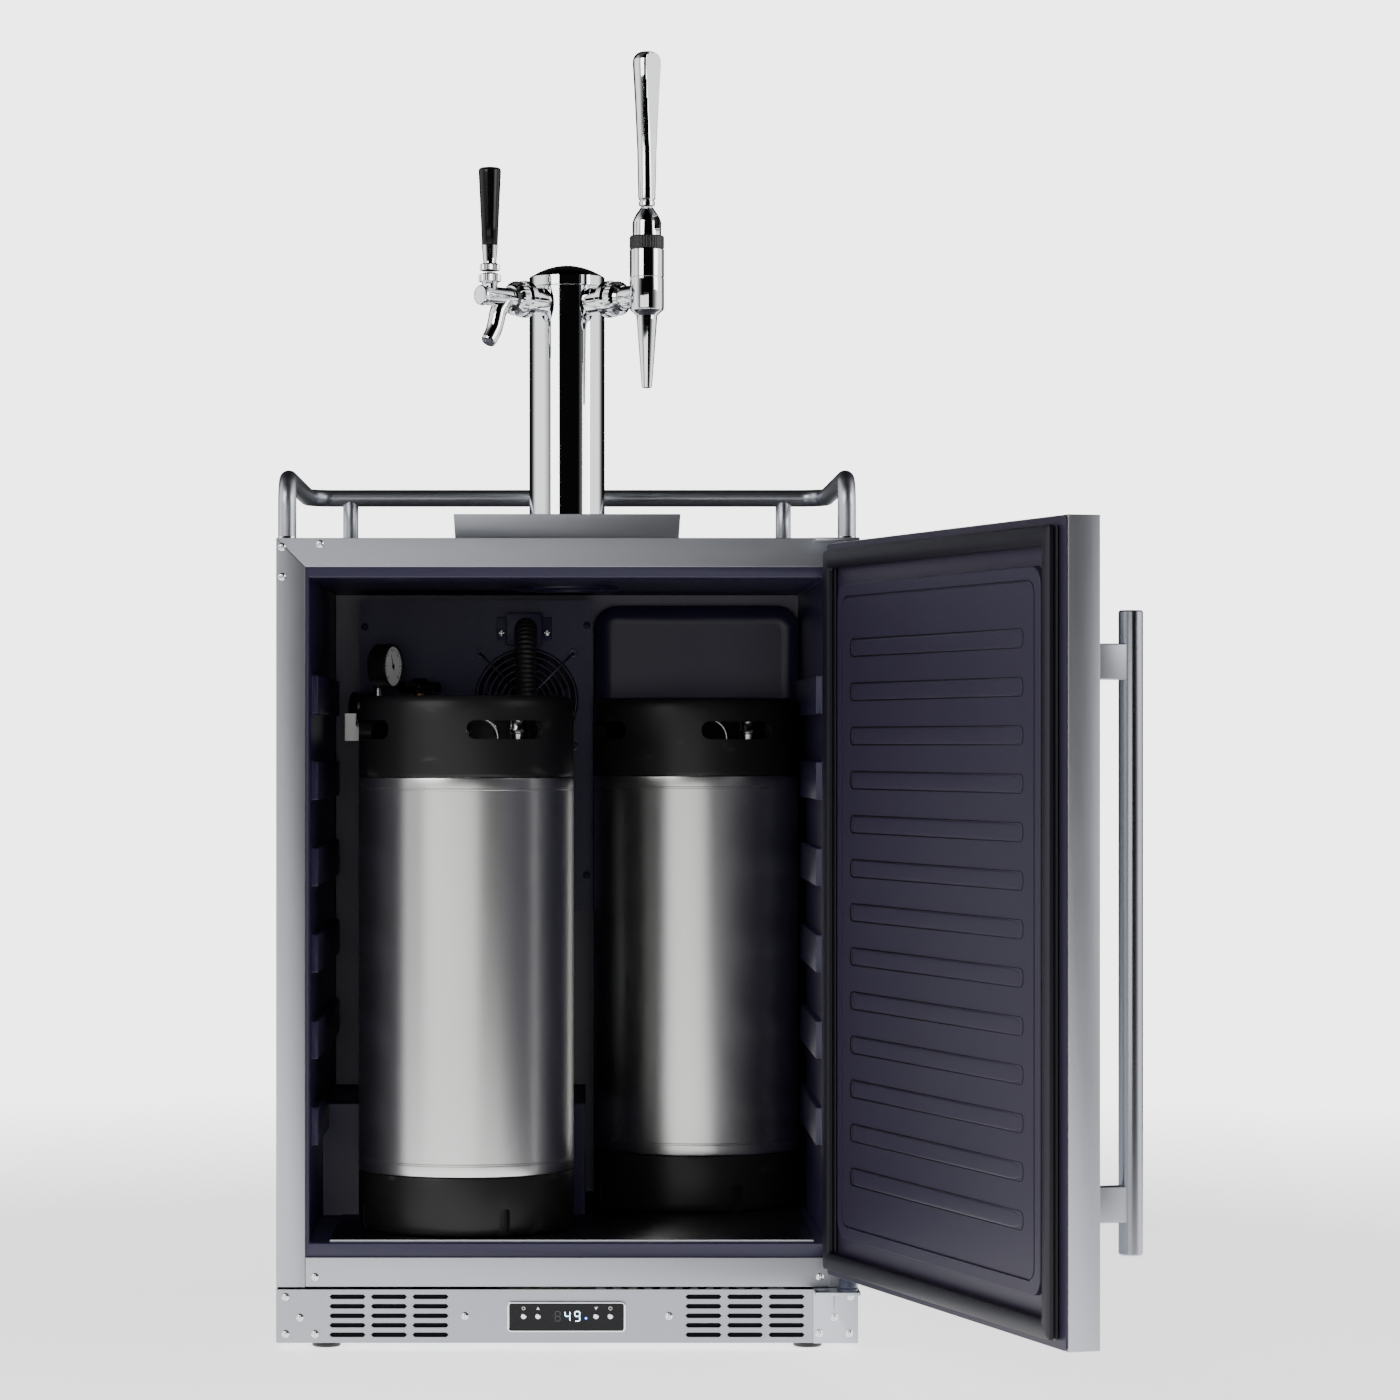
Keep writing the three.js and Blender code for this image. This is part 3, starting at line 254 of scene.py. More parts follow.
class Shader(Network):
    """A material in the making."""

    def __init__(self, name):
        self.material = bpy.data.materials.new(name)
        self.material.use_nodes = True
        super().__init__(self.material.node_tree)
        self.principled = self.tree.nodes["Principled BSDF"]

    def set(self, **values):
        """Sets the surface's sockets, such as base_color=... for Base Color."""
        for key, value in values.items():
            self.feed(self.principled.inputs[key.replace("_", " ").title().replace("Ior", "IOR")], value)
        return self

    def place(self, stretch=(1, 1, 1)):
        """Object coordinates, stretched."""
        where = self.node("ShaderNodeTexCoord").out("Object")
        return self.node("ShaderNodeMapping", None, {"Vector": where, "Scale": stretch}).out(0)

    def noise(self, scale, stretch=(1, 1, 1), detail=4.0):
        inputs = {"Vector": self.place(stretch), "Scale": scale, "Detail": detail, "Roughness": 0.55}
        return self.node("ShaderNodeTexNoise", None, inputs).out(0)

    def cells(self, scale, feature="F1"):
        inputs = {"Vector": self.place(), "Scale": scale}
        return self.node("ShaderNodeTexVoronoi", {"feature": feature}, inputs).out("Distance")

    def ramp(self, value, low, high):
        """Black below low, white above high."""
        stops = ((low, (0, 0, 0)), (high, (1, 1, 1)))
        return self.node("ShaderNodeValToRGB", {"stops": stops}, {0: value}).out(0)

    def blend(self, factor, first, second):
        """A colour between two colours."""
        inputs = {0: factor, 6: (*first, 1), 7: (*second, 1)}
        return self.node("ShaderNodeMix", {"data_type": "RGBA"}, inputs).out(2)

    def bump(self, height, strength, distance):
        inputs = {"Height": height, "Strength": strength, "Distance": distance}
        return self.node("ShaderNodeBump", None, inputs).out(0)


def toned(colour, factor):
    return tuple(min(1.0, c * factor) for c in colour)


def worked(name, colour, roughness, grain, metallic=0.0, tone=0.12, gloss=0.12, bump=0.15, depth=0.00004,
           clouds=7.0):
    """A surface whose grain and broad clouds both shade its colour and its gloss.

    grain is (scale, stretch): noise pulled out along the way the surface was worked."""
    shader = Shader(name)
    fine = shader.noise(grain[0], grain[1], detail=5.0)
    broad = shader.noise(clouds, detail=3.0)
    shade = fine * 0.6 + broad * 0.4
    shader.set(
        base_color=shader.blend(shade, toned(colour, 1 - tone), toned(colour, 1 + tone)),
        roughness=(shade - 0.5) * gloss + roughness,
        metallic=metallic,
        normal=shader.bump(fine, bump, depth),
    )
    return shader


UPRIGHT, LEVEL, RINGS, DEEP = (1, 1, 0.012), (0.012, 1, 1), (0.03, 0.03, 1), (1, 0.012, 1)
EVEN = (1, 1, 1)


def steel(way, name):
    return worked(name, finishes().steel, 0.4, (1500, way), 1.0, 0.1, 0.16, 0.2, clouds=4.0)


def chrome():
    """Mirror plate with a faint haze of finger smudges."""
    shader = Shader("chrome_plate")
    haze = shader.ramp(shader.noise(22, detail=6.0), 0.5, 0.85)
    shader.set(
        base_color=shader.blend(haze, finishes().chrome, toned(finishes().chrome, 0.94)),
        roughness=haze * 0.07 + 0.035,
        metallic=1.0,
        normal=shader.bump(shader.noise(60, detail=2.0), 0.02, 0.0002),
    )
    return shader


def keg_steel():
    """Steel brushed in rings, with scuffs and dull patches from handling."""
    return worked("keg_shell_steel", finishes().keg, 0.31, (2600, RINGS), 1.0, 0.06, 0.08, 0.1, clouds=6.0)


def galvanised():
    """Zinc spangle: flat cells of slightly different grey."""
    shader = Shader("zinc_spangle")
    cells = shader.cells(75)
    fine = shader.noise(600)
    shader.set(
        base_color=shader.blend(cells, (0.52, 0.54, 0.56), (0.7, 0.71, 0.72)),
        roughness=cells * 0.2 + 0.34,
        metallic=1.0,
        normal=shader.bump(fine, 0.1, 0.0001),
    )
    return shader


def moulded(name, colour, roughness=0.4, grain=900.0, bump=0.16):
    """Moulded plastic with a fine skin and wiped, slightly glossier patches."""
    return worked(name, colour, roughness, (grain, EVEN), 0.0, 0.16, 0.14, bump, 0.00012, 5.0)


def rubber():
    """Black rubber with pale scuffs where it has been knocked."""
    shader = Shader("keg_rubber")
    fine = shader.noise(420, detail=5.0)
    scuff = shader.ramp(shader.noise(26, (1, 1, 2.2), detail=8.0), 0.63, 0.78)
    shader.set(
        base_color=shader.blend(scuff, (0.006, 0.006, 0.0065), (0.03, 0.0295, 0.029)),
        roughness=scuff * 0.22 + 0.4,
        specular_ior_level=0.3,
        normal=shader.bump(fine, 0.22, 0.00016),
    )
    return shader


def powder_coat():
    """Textured powder coat: small round pimples."""
    shader = Shader("powder_coat")
    colour = (0.0095, 0.0075, 0.027)
    pimples = shader.cells(520, "SMOOTH_F1")
    shader.set(
        base_color=shader.blend(pimples, toned(colour, 0.75), toned(colour, 1.6)),
        roughness=pimples * 0.2 + 0.36,
        specular_ior_level=0.35,
        normal=shader.bump(pimples, 0.4, 0.00025),
    )
    return shader


def brass():
    """Machined brass, browner where it is tarnished."""
    shader = Shader("machined_brass")
    tarnish = shader.noise(55, detail=6.0)
    shader.set(
        base_color=shader.blend(tarnish, (0.72, 0.5, 0.2), (0.42, 0.27, 0.1)),
        roughness=tarnish * 0.2 + 0.2,
        metallic=1.0,
        normal=shader.bump(shader.noise(900), 0.08, 0.00005),
    )
    return shader


def panel_glass():
    """Black glass with a trace of dust."""
    shader = Shader("panel_glass")
    dust = shader.ramp(shader.noise(380, detail=7.0), 0.62, 0.8)
    shader.set(
        base_color=shader.blend(dust, (0.004, 0.004, 0.005), (0.02, 0.02, 0.022)),
        roughness=dust * 0.2 + 0.12,
        specular_ior_level=0.2,
        normal=shader.bump(dust, 0.03, 0.00002),
    )
    return shader


def printed(name, colour):
    """Flat print or card, a little uneven."""
    return worked(name, colour, 0.45, (700, EVEN), 0.0, 0.05, 0.1, 0.06, 0.00003, 40.0)


def lit(name, colour, strength):
    """A glowing segment, brighter in its middle by its own unevenness."""
    shader = Shader(name)
    glow = shader.noise(500, detail=2.0)
    shader.set(
        base_color=shader.blend(glow, toned(colour, 0.9), colour),
        emission_color=shader.blend(glow, toned(colour, 0.9), colour),
        roughness=glow * 0.1 + 0.3,
        emission_strength=strength,
    )
    return shader


def foam():
    """Rigid foam: open cells."""
    shader = Shader("insulating_foam")
    cells = shader.cells(700)
    shader.set(
        base_color=shader.blend(cells, (0.5, 0.4, 0.2), (0.78, 0.68, 0.42)),
        roughness=cells * 0.1 + 0.85,
        normal=shader.bump(cells, 0.5, 0.0003),
    )
    return shader


RECIPES = {
    "steel_upright": lambda: steel(UPRIGHT, "brushed_steel_upright"),
    "steel_level": lambda: steel(LEVEL, "brushed_steel_level"),
    # The cabinet steel at three tenths of its colour for the floor plate inside the cabinet: painted shade.
    "floor_steel": lambda: worked("floor_steel", toned(finishes().steel, 0.3), 0.3, (1500, LEVEL), 1.0),
    "steel_deep": lambda: steel(DEEP, "brushed_steel_deep"),
    "rail_steel": lambda: worked(
        "satin_tube", toned(finishes().steel, 1.25), 0.34, (1400, EVEN), 1.0, 0.08, 0.1, 0.05),
    "handle_steel": lambda: worked(
        "satin_bar", finishes().steel, 0.2, (1400, UPRIGHT), 1.0, 0.08, 0.08, 0.08),
    "chrome": chrome,
    "keg_steel": keg_steel,
    "galvanised": galvanised,
    "liner": lambda: moulded("moulded_liner", finishes().liner, 0.3).set(specular_ior_level=0.4),
    "door_liner": lambda: moulded("moulded_door_liner", finishes().door_liner, 0.45).set(
        specular_ior_level=0.35),
    "gasket": lambda: moulded("vinyl_gasket", (0.003, 0.0026, 0.0065), 0.45, 500.0).set(
        specular_ior_level=0.3),
    "dark_metal": powder_coat,
    "black_plastic": lambda: moulded("black_plastic", (0.005, 0.005, 0.006), 0.38),
    "black_gloss": lambda: moulded("black_gloss", (0.002, 0.002, 0.0022), 0.16, 200.0, 0.02).set(
        specular_ior_level=0.25),
    "fan_plastic": lambda: moulded("fan_plastic", (0.003, 0.003, 0.005), 0.6).set(specular_ior_level=0.2),
    "wire": lambda: worked("plated_wire", (0.11, 0.11, 0.15), 0.3, (600, EVEN), 1.0),
    # Near-black matte plastic: painted groove shade on the door, and the plates behind the kick grille.
    "engraved": lambda: moulded("engraved_line", (0.002, 0.002, 0.003), 0.7).set(specular_ior_level=0.1),
    "rubber": rubber,
    "hose": lambda: moulded("hose_rubber", (0.012, 0.012, 0.013), 0.42, 600.0),
    "blue_plastic": lambda: moulded("blue_bush", (0.008, 0.011, 0.032), 0.35),
    "aluminium": lambda: worked("satin_aluminium", (0.6, 0.61, 0.62), 0.36, (1100, RINGS), 1.0, 0.1, 0.2),
    "brass": brass,
    "regulator": lambda: worked("nickel_plate", (0.62, 0.61, 0.59), 0.2, (500, EVEN), 1.0, 0.08, 0.12),
    "enamel": lambda: moulded("stove_enamel", (0.01, 0.01, 0.011), 0.28, 160.0, 0.12),
    "panel_glass": panel_glass,
    "print": lambda: printed("white_print", (0.8, 0.8, 0.78)),
    "ink": lambda: printed("black_print", (0.01, 0.01, 0.01)),
    "unlit": lambda: printed("unlit_segment", (0.03, 0.032, 0.036)),
    "lit": lambda: lit("lit_segment", finishes().display, 5.0),
    "indicator": lambda: lit("blue_indicator", (0.08, 0.3, 1.0), 6.0),
    "foam": foam,
}
made_finishes = {}


def material(name):
    """The material of that name, made the first time it is asked for."""
    if name not in made_finishes:
        made_finishes[name] = RECIPES[name]().material
    return made_finishes[name]


# ---------------------------------------------------------------- surfaces


class Shape:
    """Corner points in millimetres and faces that number them."""

    def __init__(self, points, faces):
        self.points = np.asarray(points, float).reshape(-1, 3)
        self.faces = faces

    def moved(self, x=0.0, y=0.0, z=0.0):
        return Shape(self.points + (x, y, z), self.faces)

    def spun(self, degrees, pivot=(0.0, 0.0)):
        """Turned about an upright line through the pivot."""
        a = math.radians(degrees)
        turn = np.array([[math.cos(a), math.sin(a), 0], [-math.sin(a), math.cos(a), 0], [0, 0, 1]])
        centre = np.array([*pivot, 0.0])
        return Shape((self.points - centre) @ turn + centre, self.faces)

    def aimed(self, origin, direction):
        """Its Z axis laid along a direction from an origin."""
        w = np.asarray(direction, float)
        w = w / np.linalg.norm(w)
        side = np.array([0.0, 0.0, 1.0]) if abs(w[2]) < 0.9 else np.array([0.0, 1.0, 0.0])
        u = np.cross(side, w)
        u = u / np.linalg.norm(u)
        v = np.cross(w, u)
        return Shape(np.asarray(origin) + self.points @ np.stack([u, v, w]), self.faces)


def skin(grid, closed=False):
    """Faces between the neighbours of a (rings, sides) grid that wraps round its sides.

    closed joins the last ring to the first."""
    rings, sides = grid.shape[:2]
    i = np.arange(rings if closed else rings - 1)[:, None]
    j = np.arange(sides)[None, :]
    after = (j + 1) % sides
    below, above = i * sides, ((i + 1) % rings) * sides
    faces = np.stack([below + j, below + after, above + after, above + j], -1)
    return Shape(grid, faces.reshape(-1, 4).tolist())


def turned(profile, sides=None, lobes=0, lobe=0.0, lobed=None):
    """A profile of (radius, height) turned about Z.

    x = r(1 + e) cos a and y = r(1 + e) sin a, where e is a cosine of the lobes round the edge between
    the two heights in lobed, as on a knurled or scalloped rim."""
    sides = sides or sizes().sides
    if lobes:
        sides = max(sides, lobes * 6)
    r, z = np.array(profile, float).T[:, :, None]
    a = np.linspace(0, 2 * math.pi, sides, endpoint=False)[None, :]
    low, high = lobed or (-1e9, 1e9)
    wave = np.where((z >= low) & (z <= high), lobe * np.cos(lobes * a), 0.0)
    radius = r + np.where(r > 1e-6, wave, 0.0)
    return skin(np.stack([radius * np.cos(a), radius * np.sin(a), z + 0 * a], -1))


def rod(start, end, radius, sides=None):
    """A round bar between two points with its rims broken by a small chamfer."""
    start, end = np.asarray(start, float), np.asarray(end, float)
    length = np.linalg.norm(end - start)
    rim = min(0.4, 0.3 * radius)
    profile = [(0, 0), (radius - rim, 0), (radius, rim), (radius, length - rim), (radius - rim, length),
               (0, length)]
    return turned(profile, sides).aimed(start, end - start)


def smooth_line(points, steps):
    """A Catmull-Rom line through points.

    Between two points it is the cubic whose slopes are half the gaps around them."""
    p = np.asarray(points, float)
    p = np.vstack([2 * p[0] - p[1], p, 2 * p[-1] - p[-2]])
    t = np.linspace(0, 1, steps, endpoint=False)[None, :, None]
    a, b, c, d = (p[k:len(p) - 3 + k][:, None, :] for k in range(4))
    curve = 0.5 * (2 * b + (c - a) * t + (2 * a - 5 * b + 4 * c - d) * t**2 + (3 * b - a - 3 * c + d) * t**3)
    return np.vstack([curve.reshape(-1, 3), p[-2]])


def even_line(points, gap):
    """The same line with its points a fixed distance apart."""
    walked = np.concatenate([[0], np.cumsum(np.linalg.norm(np.diff(points, axis=0), axis=1))])
    at = np.linspace(0, walked[-1], int(walked[-1] / gap) + 1)
    return np.stack([np.interp(at, walked, points[:, k]) for k in range(3)], -1), at


def tube(path, radius, across, sides=24, closed=False):
    """A circle carried along a path.

    Each ring is centre + r (n cos a + b sin a), where n is across the path and the given vector and b
    is across both. Open ends close on their middles."""
    path = np.asarray(path, float)
    radius = np.broadcast_to(np.asarray(radius, float), (len(path),))
    if closed:
        along = np.roll(path, -1, 0) - np.roll(path, 1, 0)
    else:
        along = np.gradient(path, axis=0)
        path = np.vstack([path[:1], path, path[-1:]])
        along = np.vstack([along[:1], along, along[-1:]])
        radius = np.concatenate([[0], radius, [0]])
    along = along / np.linalg.norm(along, axis=1)[:, None]
    n = np.cross(np.broadcast_to(across, along.shape), along)
    n = n / np.linalg.norm(n, axis=1)[:, None]
    b = np.cross(along, n)
    a = np.linspace(0, 2 * math.pi, sides, endpoint=False)[None, :, None]
    ring = n[:, None, :] * np.cos(a) + b[:, None, :] * np.sin(a)
    return skin(path[:, None, :] + radius[:, None, None] * ring, closed)


def hoop(radius, wire, sides=72, section=10):
    """A wire ring about Z: the circle of radius R carried round, a torus."""
    a = np.linspace(0, 2 * math.pi, sides, endpoint=False)
    path = np.stack([radius * np.cos(a), radius * np.sin(a), 0 * a], -1)
    return tube(path, wire, (0, 0, 1), section, True)


def rounded(width, height, radius, x=0.0, z=0.0, steps=7):
    """A rectangle whose four corners are quarter circles, as (x, z) points."""
    a = np.linspace(0, math.pi / 2, steps)
    turn = np.arange(4)[:, None] * math.pi / 2
    cx = np.array([1, -1, -1, 1])[:, None] * (width / 2 - radius)
    cz = np.array([1, 1, -1, -1])[:, None] * (height / 2 - radius)
    corner = np.stack([x + cx + radius * np.cos(a + turn), z + cz + radius * np.sin(a + turn)], -1)
    return corner.reshape(-1, 2)


def prism(outline, y0, y1, ease=0.0):
    """An outline in XZ thickened along Y, its rims eased in towards its middle by a small amount."""
    outline = np.asarray(outline, float)
    centre = outline.mean(0)
    shrink = 1 - ease / max(1e-6, np.abs(outline - centre).max())
    inner = centre + (outline - centre) * shrink
    step = math.copysign(ease, y1 - y0)
    rows = [(centre + 0 * outline, y0), (inner, y0), (outline, y0 + step), (outline, y1 - step), (inner, y1),
            (centre + 0 * outline, y1)]
    grid = np.stack([np.stack([flat[:, 0], 0 * flat[:, 0] + y, flat[:, 1]], -1) for flat, y in rows])
    return skin(grid)


def framed(profile, half_x, half_z, radii, x=0.0, z=0.0, steps=6, closed=True):
    """A profile of (inset, y) carried round a rectangle.

    At an inset d the path is the rectangle drawn in by d, its corners quarter circles of the row's own
    radius."""
    inset, y = np.array(profile, float).T[:, :, None, None]
    a = (np.linspace(0, math.pi / 2, steps)[None, :] + np.arange(4)[:, None] * math.pi / 2)[None]
    sx = np.array([1, -1, -1, 1])[None, :, None]
    sz = np.array([1, 1, -1, -1])[None, :, None]
    r = np.maximum(np.broadcast_to(np.asarray(radii, float), (len(profile),)), 0.02)[:, None, None]
    px = x + sx * (half_x - inset - r) + r * np.cos(a)
    pz = z + sz * (half_z - inset - r) + r * np.sin(a)
    grid = np.stack([px, y + 0 * px, pz], -1).reshape(len(profile), -1, 3)
    return skin(grid, closed)


def screw_head(radius):
    """A domed head with a cross recess.

    Height over the disc is a flat dome, less a recess wherever either axis is nearer than the blade's
    half width and the point is inside the recess's reach."""
    r = np.array([0.0, 0.12, 0.2, 0.35, 0.5, 0.62, 0.68, 0.85, 0.96, 1.0, 1.0])[:, None] * radius
    a = np.linspace(0, 2 * math.pi, 32, endpoint=False)[None, :]
    x, y = r * np.cos(a), r * np.sin(a)
    dome = 0.55 * radius * np.sqrt(np.maximum(0.0, 1.1 - (r / radius) ** 2))
    blade = np.minimum(np.abs(x), np.abs(y)) < 0.13 * radius
    height = dome - np.where(blade & (r < 0.64 * radius), 0.32 * radius, 0.0)
    height[-1] = -0.3
    top = np.stack([x, y, height + 0 * a], -1)
    foot = np.zeros((1, 32, 3))
    foot[..., 2] = -0.3
    return skin(np.concatenate([top, foot]))


def build_mesh(name, shapes, sharp):
    """One mesh of all the shapes, welded, with its faces pointing out."""
    counts = np.cumsum([0] + [len(s.points) for s in shapes])
    faces = [[k + int(start) for k in face] for s, start in zip(shapes, counts) for face in s.faces]
    mesh = bpy.data.meshes.new(name)
    mesh.from_pydata((np.vstack([s.points for s in shapes]) * MM).tolist(), [], faces)
    welded = bmesh.new()
    welded.from_mesh(mesh)
    bmesh.ops.remove_doubles(welded, verts=welded.verts, dist=2e-6)
    bmesh.ops.recalc_face_normals(welded, faces=welded.faces)
    welded.to_mesh(mesh)
    welded.free()
    mesh.shade_smooth()
    if sharp:
        mesh.set_sharp_from_angle(angle=math.radians(sharp))
    return mesh


def placed(name, data):
    """A new object of that data, in the scene."""
    item = bpy.data.objects.new(name, data)
    bpy.context.scene.collection.objects.link(item)
    return item


def rest_on(piece, finish, body, replaces):
    """Gives a piece its material and its body, and hides the nodes that it replaces."""
    piece.data.materials.clear()
    piece.data.materials.append(material(finish))
    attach(piece, body)
    if replaces:
        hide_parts(*replaces)


def ease_edges(piece, width):
    bevel = piece.modifiers.new("eased_edges", "BEVEL")
    bevel.width = width
    bevel.segments = 2
    bevel.limit_method = "ANGLE"
    bevel.angle_limit = math.radians(35)
    bevel.harden_normals = True


def make(name, shapes, finish, body, replaces=(), sharp=32, cutters=()):
    """A finished piece of the object, with any cutters taken out of it."""
    piece = placed(name, build_mesh(name, shapes, sharp))
    if cutters:
        cut_out(piece, cutters, sharp)
    rest_on(piece, finish, body, replaces)
    return piece


def cut_out(piece, cutters, sharp):
    """Takes closed shapes out of a piece."""
    tool = placed(piece.name + "_tool", build_mesh(piece.name + "_tool", cutters, 0))
    difference = piece.modifiers.new("cut", "BOOLEAN")
    difference.operation = "DIFFERENCE"
    difference.solver = "EXACT"
    difference.object = tool
    bpy.context.view_layer.update()
    result = bpy.data.meshes.new_from_object(piece.evaluated_get(bpy.context.evaluated_depsgraph_get()))
    piece.modifiers.clear()
    piece.data = result
    result.name = piece.name
    result.shade_smooth()
    result.set_sharp_from_angle(angle=math.radians(sharp))
    bpy.data.objects.remove(tool)


def softened(node, finish, width):
    """A copy of a sheet node, welded, its flats made whole and its edges rounded. It replaces the node."""
    source = frame["nodes"][node]
    mesh = bpy.data.meshes.new(node + "_sheet")
    welded = bmesh.new()
    welded.from_mesh(source.data)
    bmesh.ops.remove_doubles(welded, verts=welded.verts, dist=1e-5)
    bmesh.ops.dissolve_limit(welded, angle_limit=math.radians(1), verts=welded.verts, edges=welded.edges)
    welded.to_mesh(mesh)
    welded.free()
    mesh.shade_smooth()
    piece = placed(node + "_sheet", mesh)
    ease_edges(piece, width)
    rest_on(piece, finish, source["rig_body"], (node,))


def on_door(shape):
    """A shape drawn on the shut door, swung open with it."""
    return shape.spun(DOOR_OPEN, (HINGE_X, HINGE_Y))


# ---------------------------------------------------------------- operators


class KegeratorOperator(bpy.types.Operator):
    """Builds one group of pieces"""

    bl_options = {"REGISTER", "UNDO"}

    def execute(self, context):
        self.build()
        return {"FINISHED"}


# Each softbox: its name, place and size in metres, power in watts and whether polished metal mirrors it.
SOFTBOXES = (
    ("key", (-2.6, -3.4, 2.6), (2.2, 2.2), 75, True),
    ("fill", (3.7, -2.0, 2.0), (2.0, 2.0), 50, True),
    ("top", (0.2, -0.6, 3.4), (2.6, 2.6), 40, False),
    ("low", (-0.9, -3.2, 0.42), (3.4, 0.75), 15, True),
    ("into_cabinet", (0.0, -4.0, 0.9), (1.6, 1.6), 45, False),
)
# The studio's brightness by heading, from the kegerator's front (0) round to its back (1).
STUDIO = ((0.0, 0.003), (0.2, 0.003), (0.22, 0.06), (0.31, 0.3), (0.42, 1.6), (0.62, 1.6), (0.7, 0.25),
          (0.76, 0.01), (1.0, 0.01))
FLOOR_RADIUS = 5


class KEGERATOR_OT_stage(KegeratorOperator):
    """The camera, the floor and the light"""

    bl_idname = "kegerator.stage"
    bl_label = "Stage"

    def build(self):
        scene = bpy.context.scene
        stage = scene.kegerator_stage
        camera = placed("camera", bpy.data.cameras.new("camera"))
        camera.location = (0, -stage.distance, stage.height)
        camera.rotation_euler = (math.pi / 2, 0, 0)
        camera.data.sensor_width = 36
        camera.data.lens = stage.lens
        camera.data.shift_x = stage.shift_x
        camera.data.shift_y = stage.shift_y
        camera.data.clip_end = 100
        scene.camera = camera
        self.floor()
        self.surroundings(stage.light)
        for softbox in SOFTBOXES:
            self.softbox(*softbox)

    def softbox(self, name, place, size, power, mirrored):
        light = placed(name, bpy.data.lights.new(name, "AREA"))
        light.data.shape = "RECTANGLE"
        light.data.size, light.data.size_y = size
        light.data.energy = power
        light.visible_camera = False
        light.visible_glossy = mirrored
        light.location = place
        aim = np.array([0.1, 0.0, 0.6]) - np.array(place)
        flat = math.hypot(aim[0], aim[1])
        light.rotation_euler = (math.atan2(flat, -aim[2]), 0, math.atan2(-aim[0], aim[1]))

    def floor(self):
        """A pale disc that fades out into the surroundings."""
        low = CAD_BOUNDS[0][2]
        a = np.linspace(0, 2 * math.pi, 96, endpoint=False)
        rim = np.stack([FLOOR_RADIUS * np.cos(a), FLOOR_RADIUS * np.sin(a), 0 * a + low], -1)
        mesh = bpy.data.meshes.new("floor")
        mesh.from_pydata(rim.tolist(), [], [list(range(len(a)))])
        floor = placed("floor", mesh)
        shader = Shader("studio_floor")
        pale = shader.blend(shader.noise(5.0), (0.86, 0.86, 0.87), (0.88, 0.88, 0.88))
        shader.set(base_color=pale, roughness=0.7, emission_color=pale, emission_strength=1.7)
        away = shader.node("ShaderNodeVectorMath", {"operation": "LENGTH"}, {0: shader.place()}).out("Value")
        fade = shader.ramp(away * 0.25, 0.3, 0.75)
        clear = shader.node("ShaderNodeBsdfTransparent").out(0)
        solid = Value(shader, shader.principled.outputs[0])
        mixed = shader.node("ShaderNodeMixShader", None, {0: fade, 1: solid, 2: clear}).out(0)
        shader.feed(shader.tree.nodes["Material Output"].inputs["Surface"], mixed)
        mesh.materials.append(shader.material)

    def surroundings(self, strength):
        """A white studio that is dark in front, behind and overhead, which polished metal mirrors."""
        world = bpy.data.worlds.new("studio")
        world.use_nodes = True
        bpy.context.scene.world = world
        sky = Network(world.node_tree)
        split = sky.node("ShaderNodeSeparateXYZ", None, {0: sky.node("ShaderNodeTexCoord").out("Generated")})
        x, y, z = (split.out(axis) for axis in "XYZ")
        heading = sky.node("ShaderNodeMath", {"operation": "ARCTAN2"}, {0: x, 1: y * -1}).out(0)
        turn = sky.node("ShaderNodeMath", {"operation": "ABSOLUTE"}, {0: heading}).out(0) * (1 / math.pi)
        stops = [(place, (shade, shade, shade * 1.02)) for place, shade in STUDIO]
        overhead = {"Value": z, "From Min": 0.45, "From Max": 0.8, "To Min": strength,
                    "To Max": 0.05 * strength}
        mirrored = sky.node("ShaderNodeBackground", None, {
            "Color": sky.node("ShaderNodeValToRGB", {"stops": stops}, {0: turn}).out(0),
            "Strength": sky.node("ShaderNodeMapRange", None, overhead).out(0)}).out(0)
        seen = sky.node("ShaderNodeBackground", None, {"Color": (1, 1, 1, 1),
                                                       "Strength": 4 * strength}).out(0)
        by_camera = sky.node("ShaderNodeLightPath").out("Is Camera Ray")
        mixed = sky.node("ShaderNodeMixShader", None, {0: by_camera, 1: mirrored, 2: seen}).out(0)
        sky.feed(sky.tree.nodes["World Output"].inputs["Surface"], mixed)


HOSE_ROUTE = (
    (-46, 81, 746), (-46, 75, 746), (-46, 67, 742.5), (-46, 58.5, 734), (-46, 53, 725), (-46, 49, 714),
    (-46, 46.5, 702), (-46, 45, 688), (-45.5, 44, 670), (-45, 43, 645), (-44.5, 42, 615), (-44, 41, 580),
    (-43.5, 40, 540), (-43, 39, 500), (-42.5, 38, 455), (-42, 37, 410), (-41.5, 36, 365), (-41, 35.4, 325),
    (-41, 35, 290), (-41, 35, 258), (-41, 35, 226.3),
)


class KEGERATOR_OT_hose(KegeratorOperator):
    """The corrugated hose from its bracket to the liner's step"""

    bl_idname = "kegerator.hose"
    bl_label = "Cooling hose"
    radius = 12.5

    def build(self):
        pitch = sizes().hose_pitch / MM
        line, walked = even_line(smooth_line(HOSE_ROUTE, 16), pitch / 8)
        folds = self.radius - 0.75 + 0.75 * np.cos(2 * math.pi * walked / pitch)
        hose = make("corrugated_hose", [tube(line, folds, (1, 0, 0), 36)], "hose", "cabinet",
                    ("cooling_hose",), sharp=70)


PLAIN_NODES = {
    "outer_case": "steel_deep", "base_pan": "galvanised", "rear_panel": "galvanised",
    "rear_cover": "galvanised", "foam_insulation": "foam", "door_foam": "foam", "kick_grille": "steel_level",
    # The evaporator coil takes the black powder coat though its fins are bare aluminium: painted shade for
    # the dark behind the cooling cover.
    "control_panel": "panel_glass", "evaporator_coil": "dark_metal", "condenser": "aluminium",
    "drip_grid": "steel_level", "evaporator_cover": "dark_metal",
}
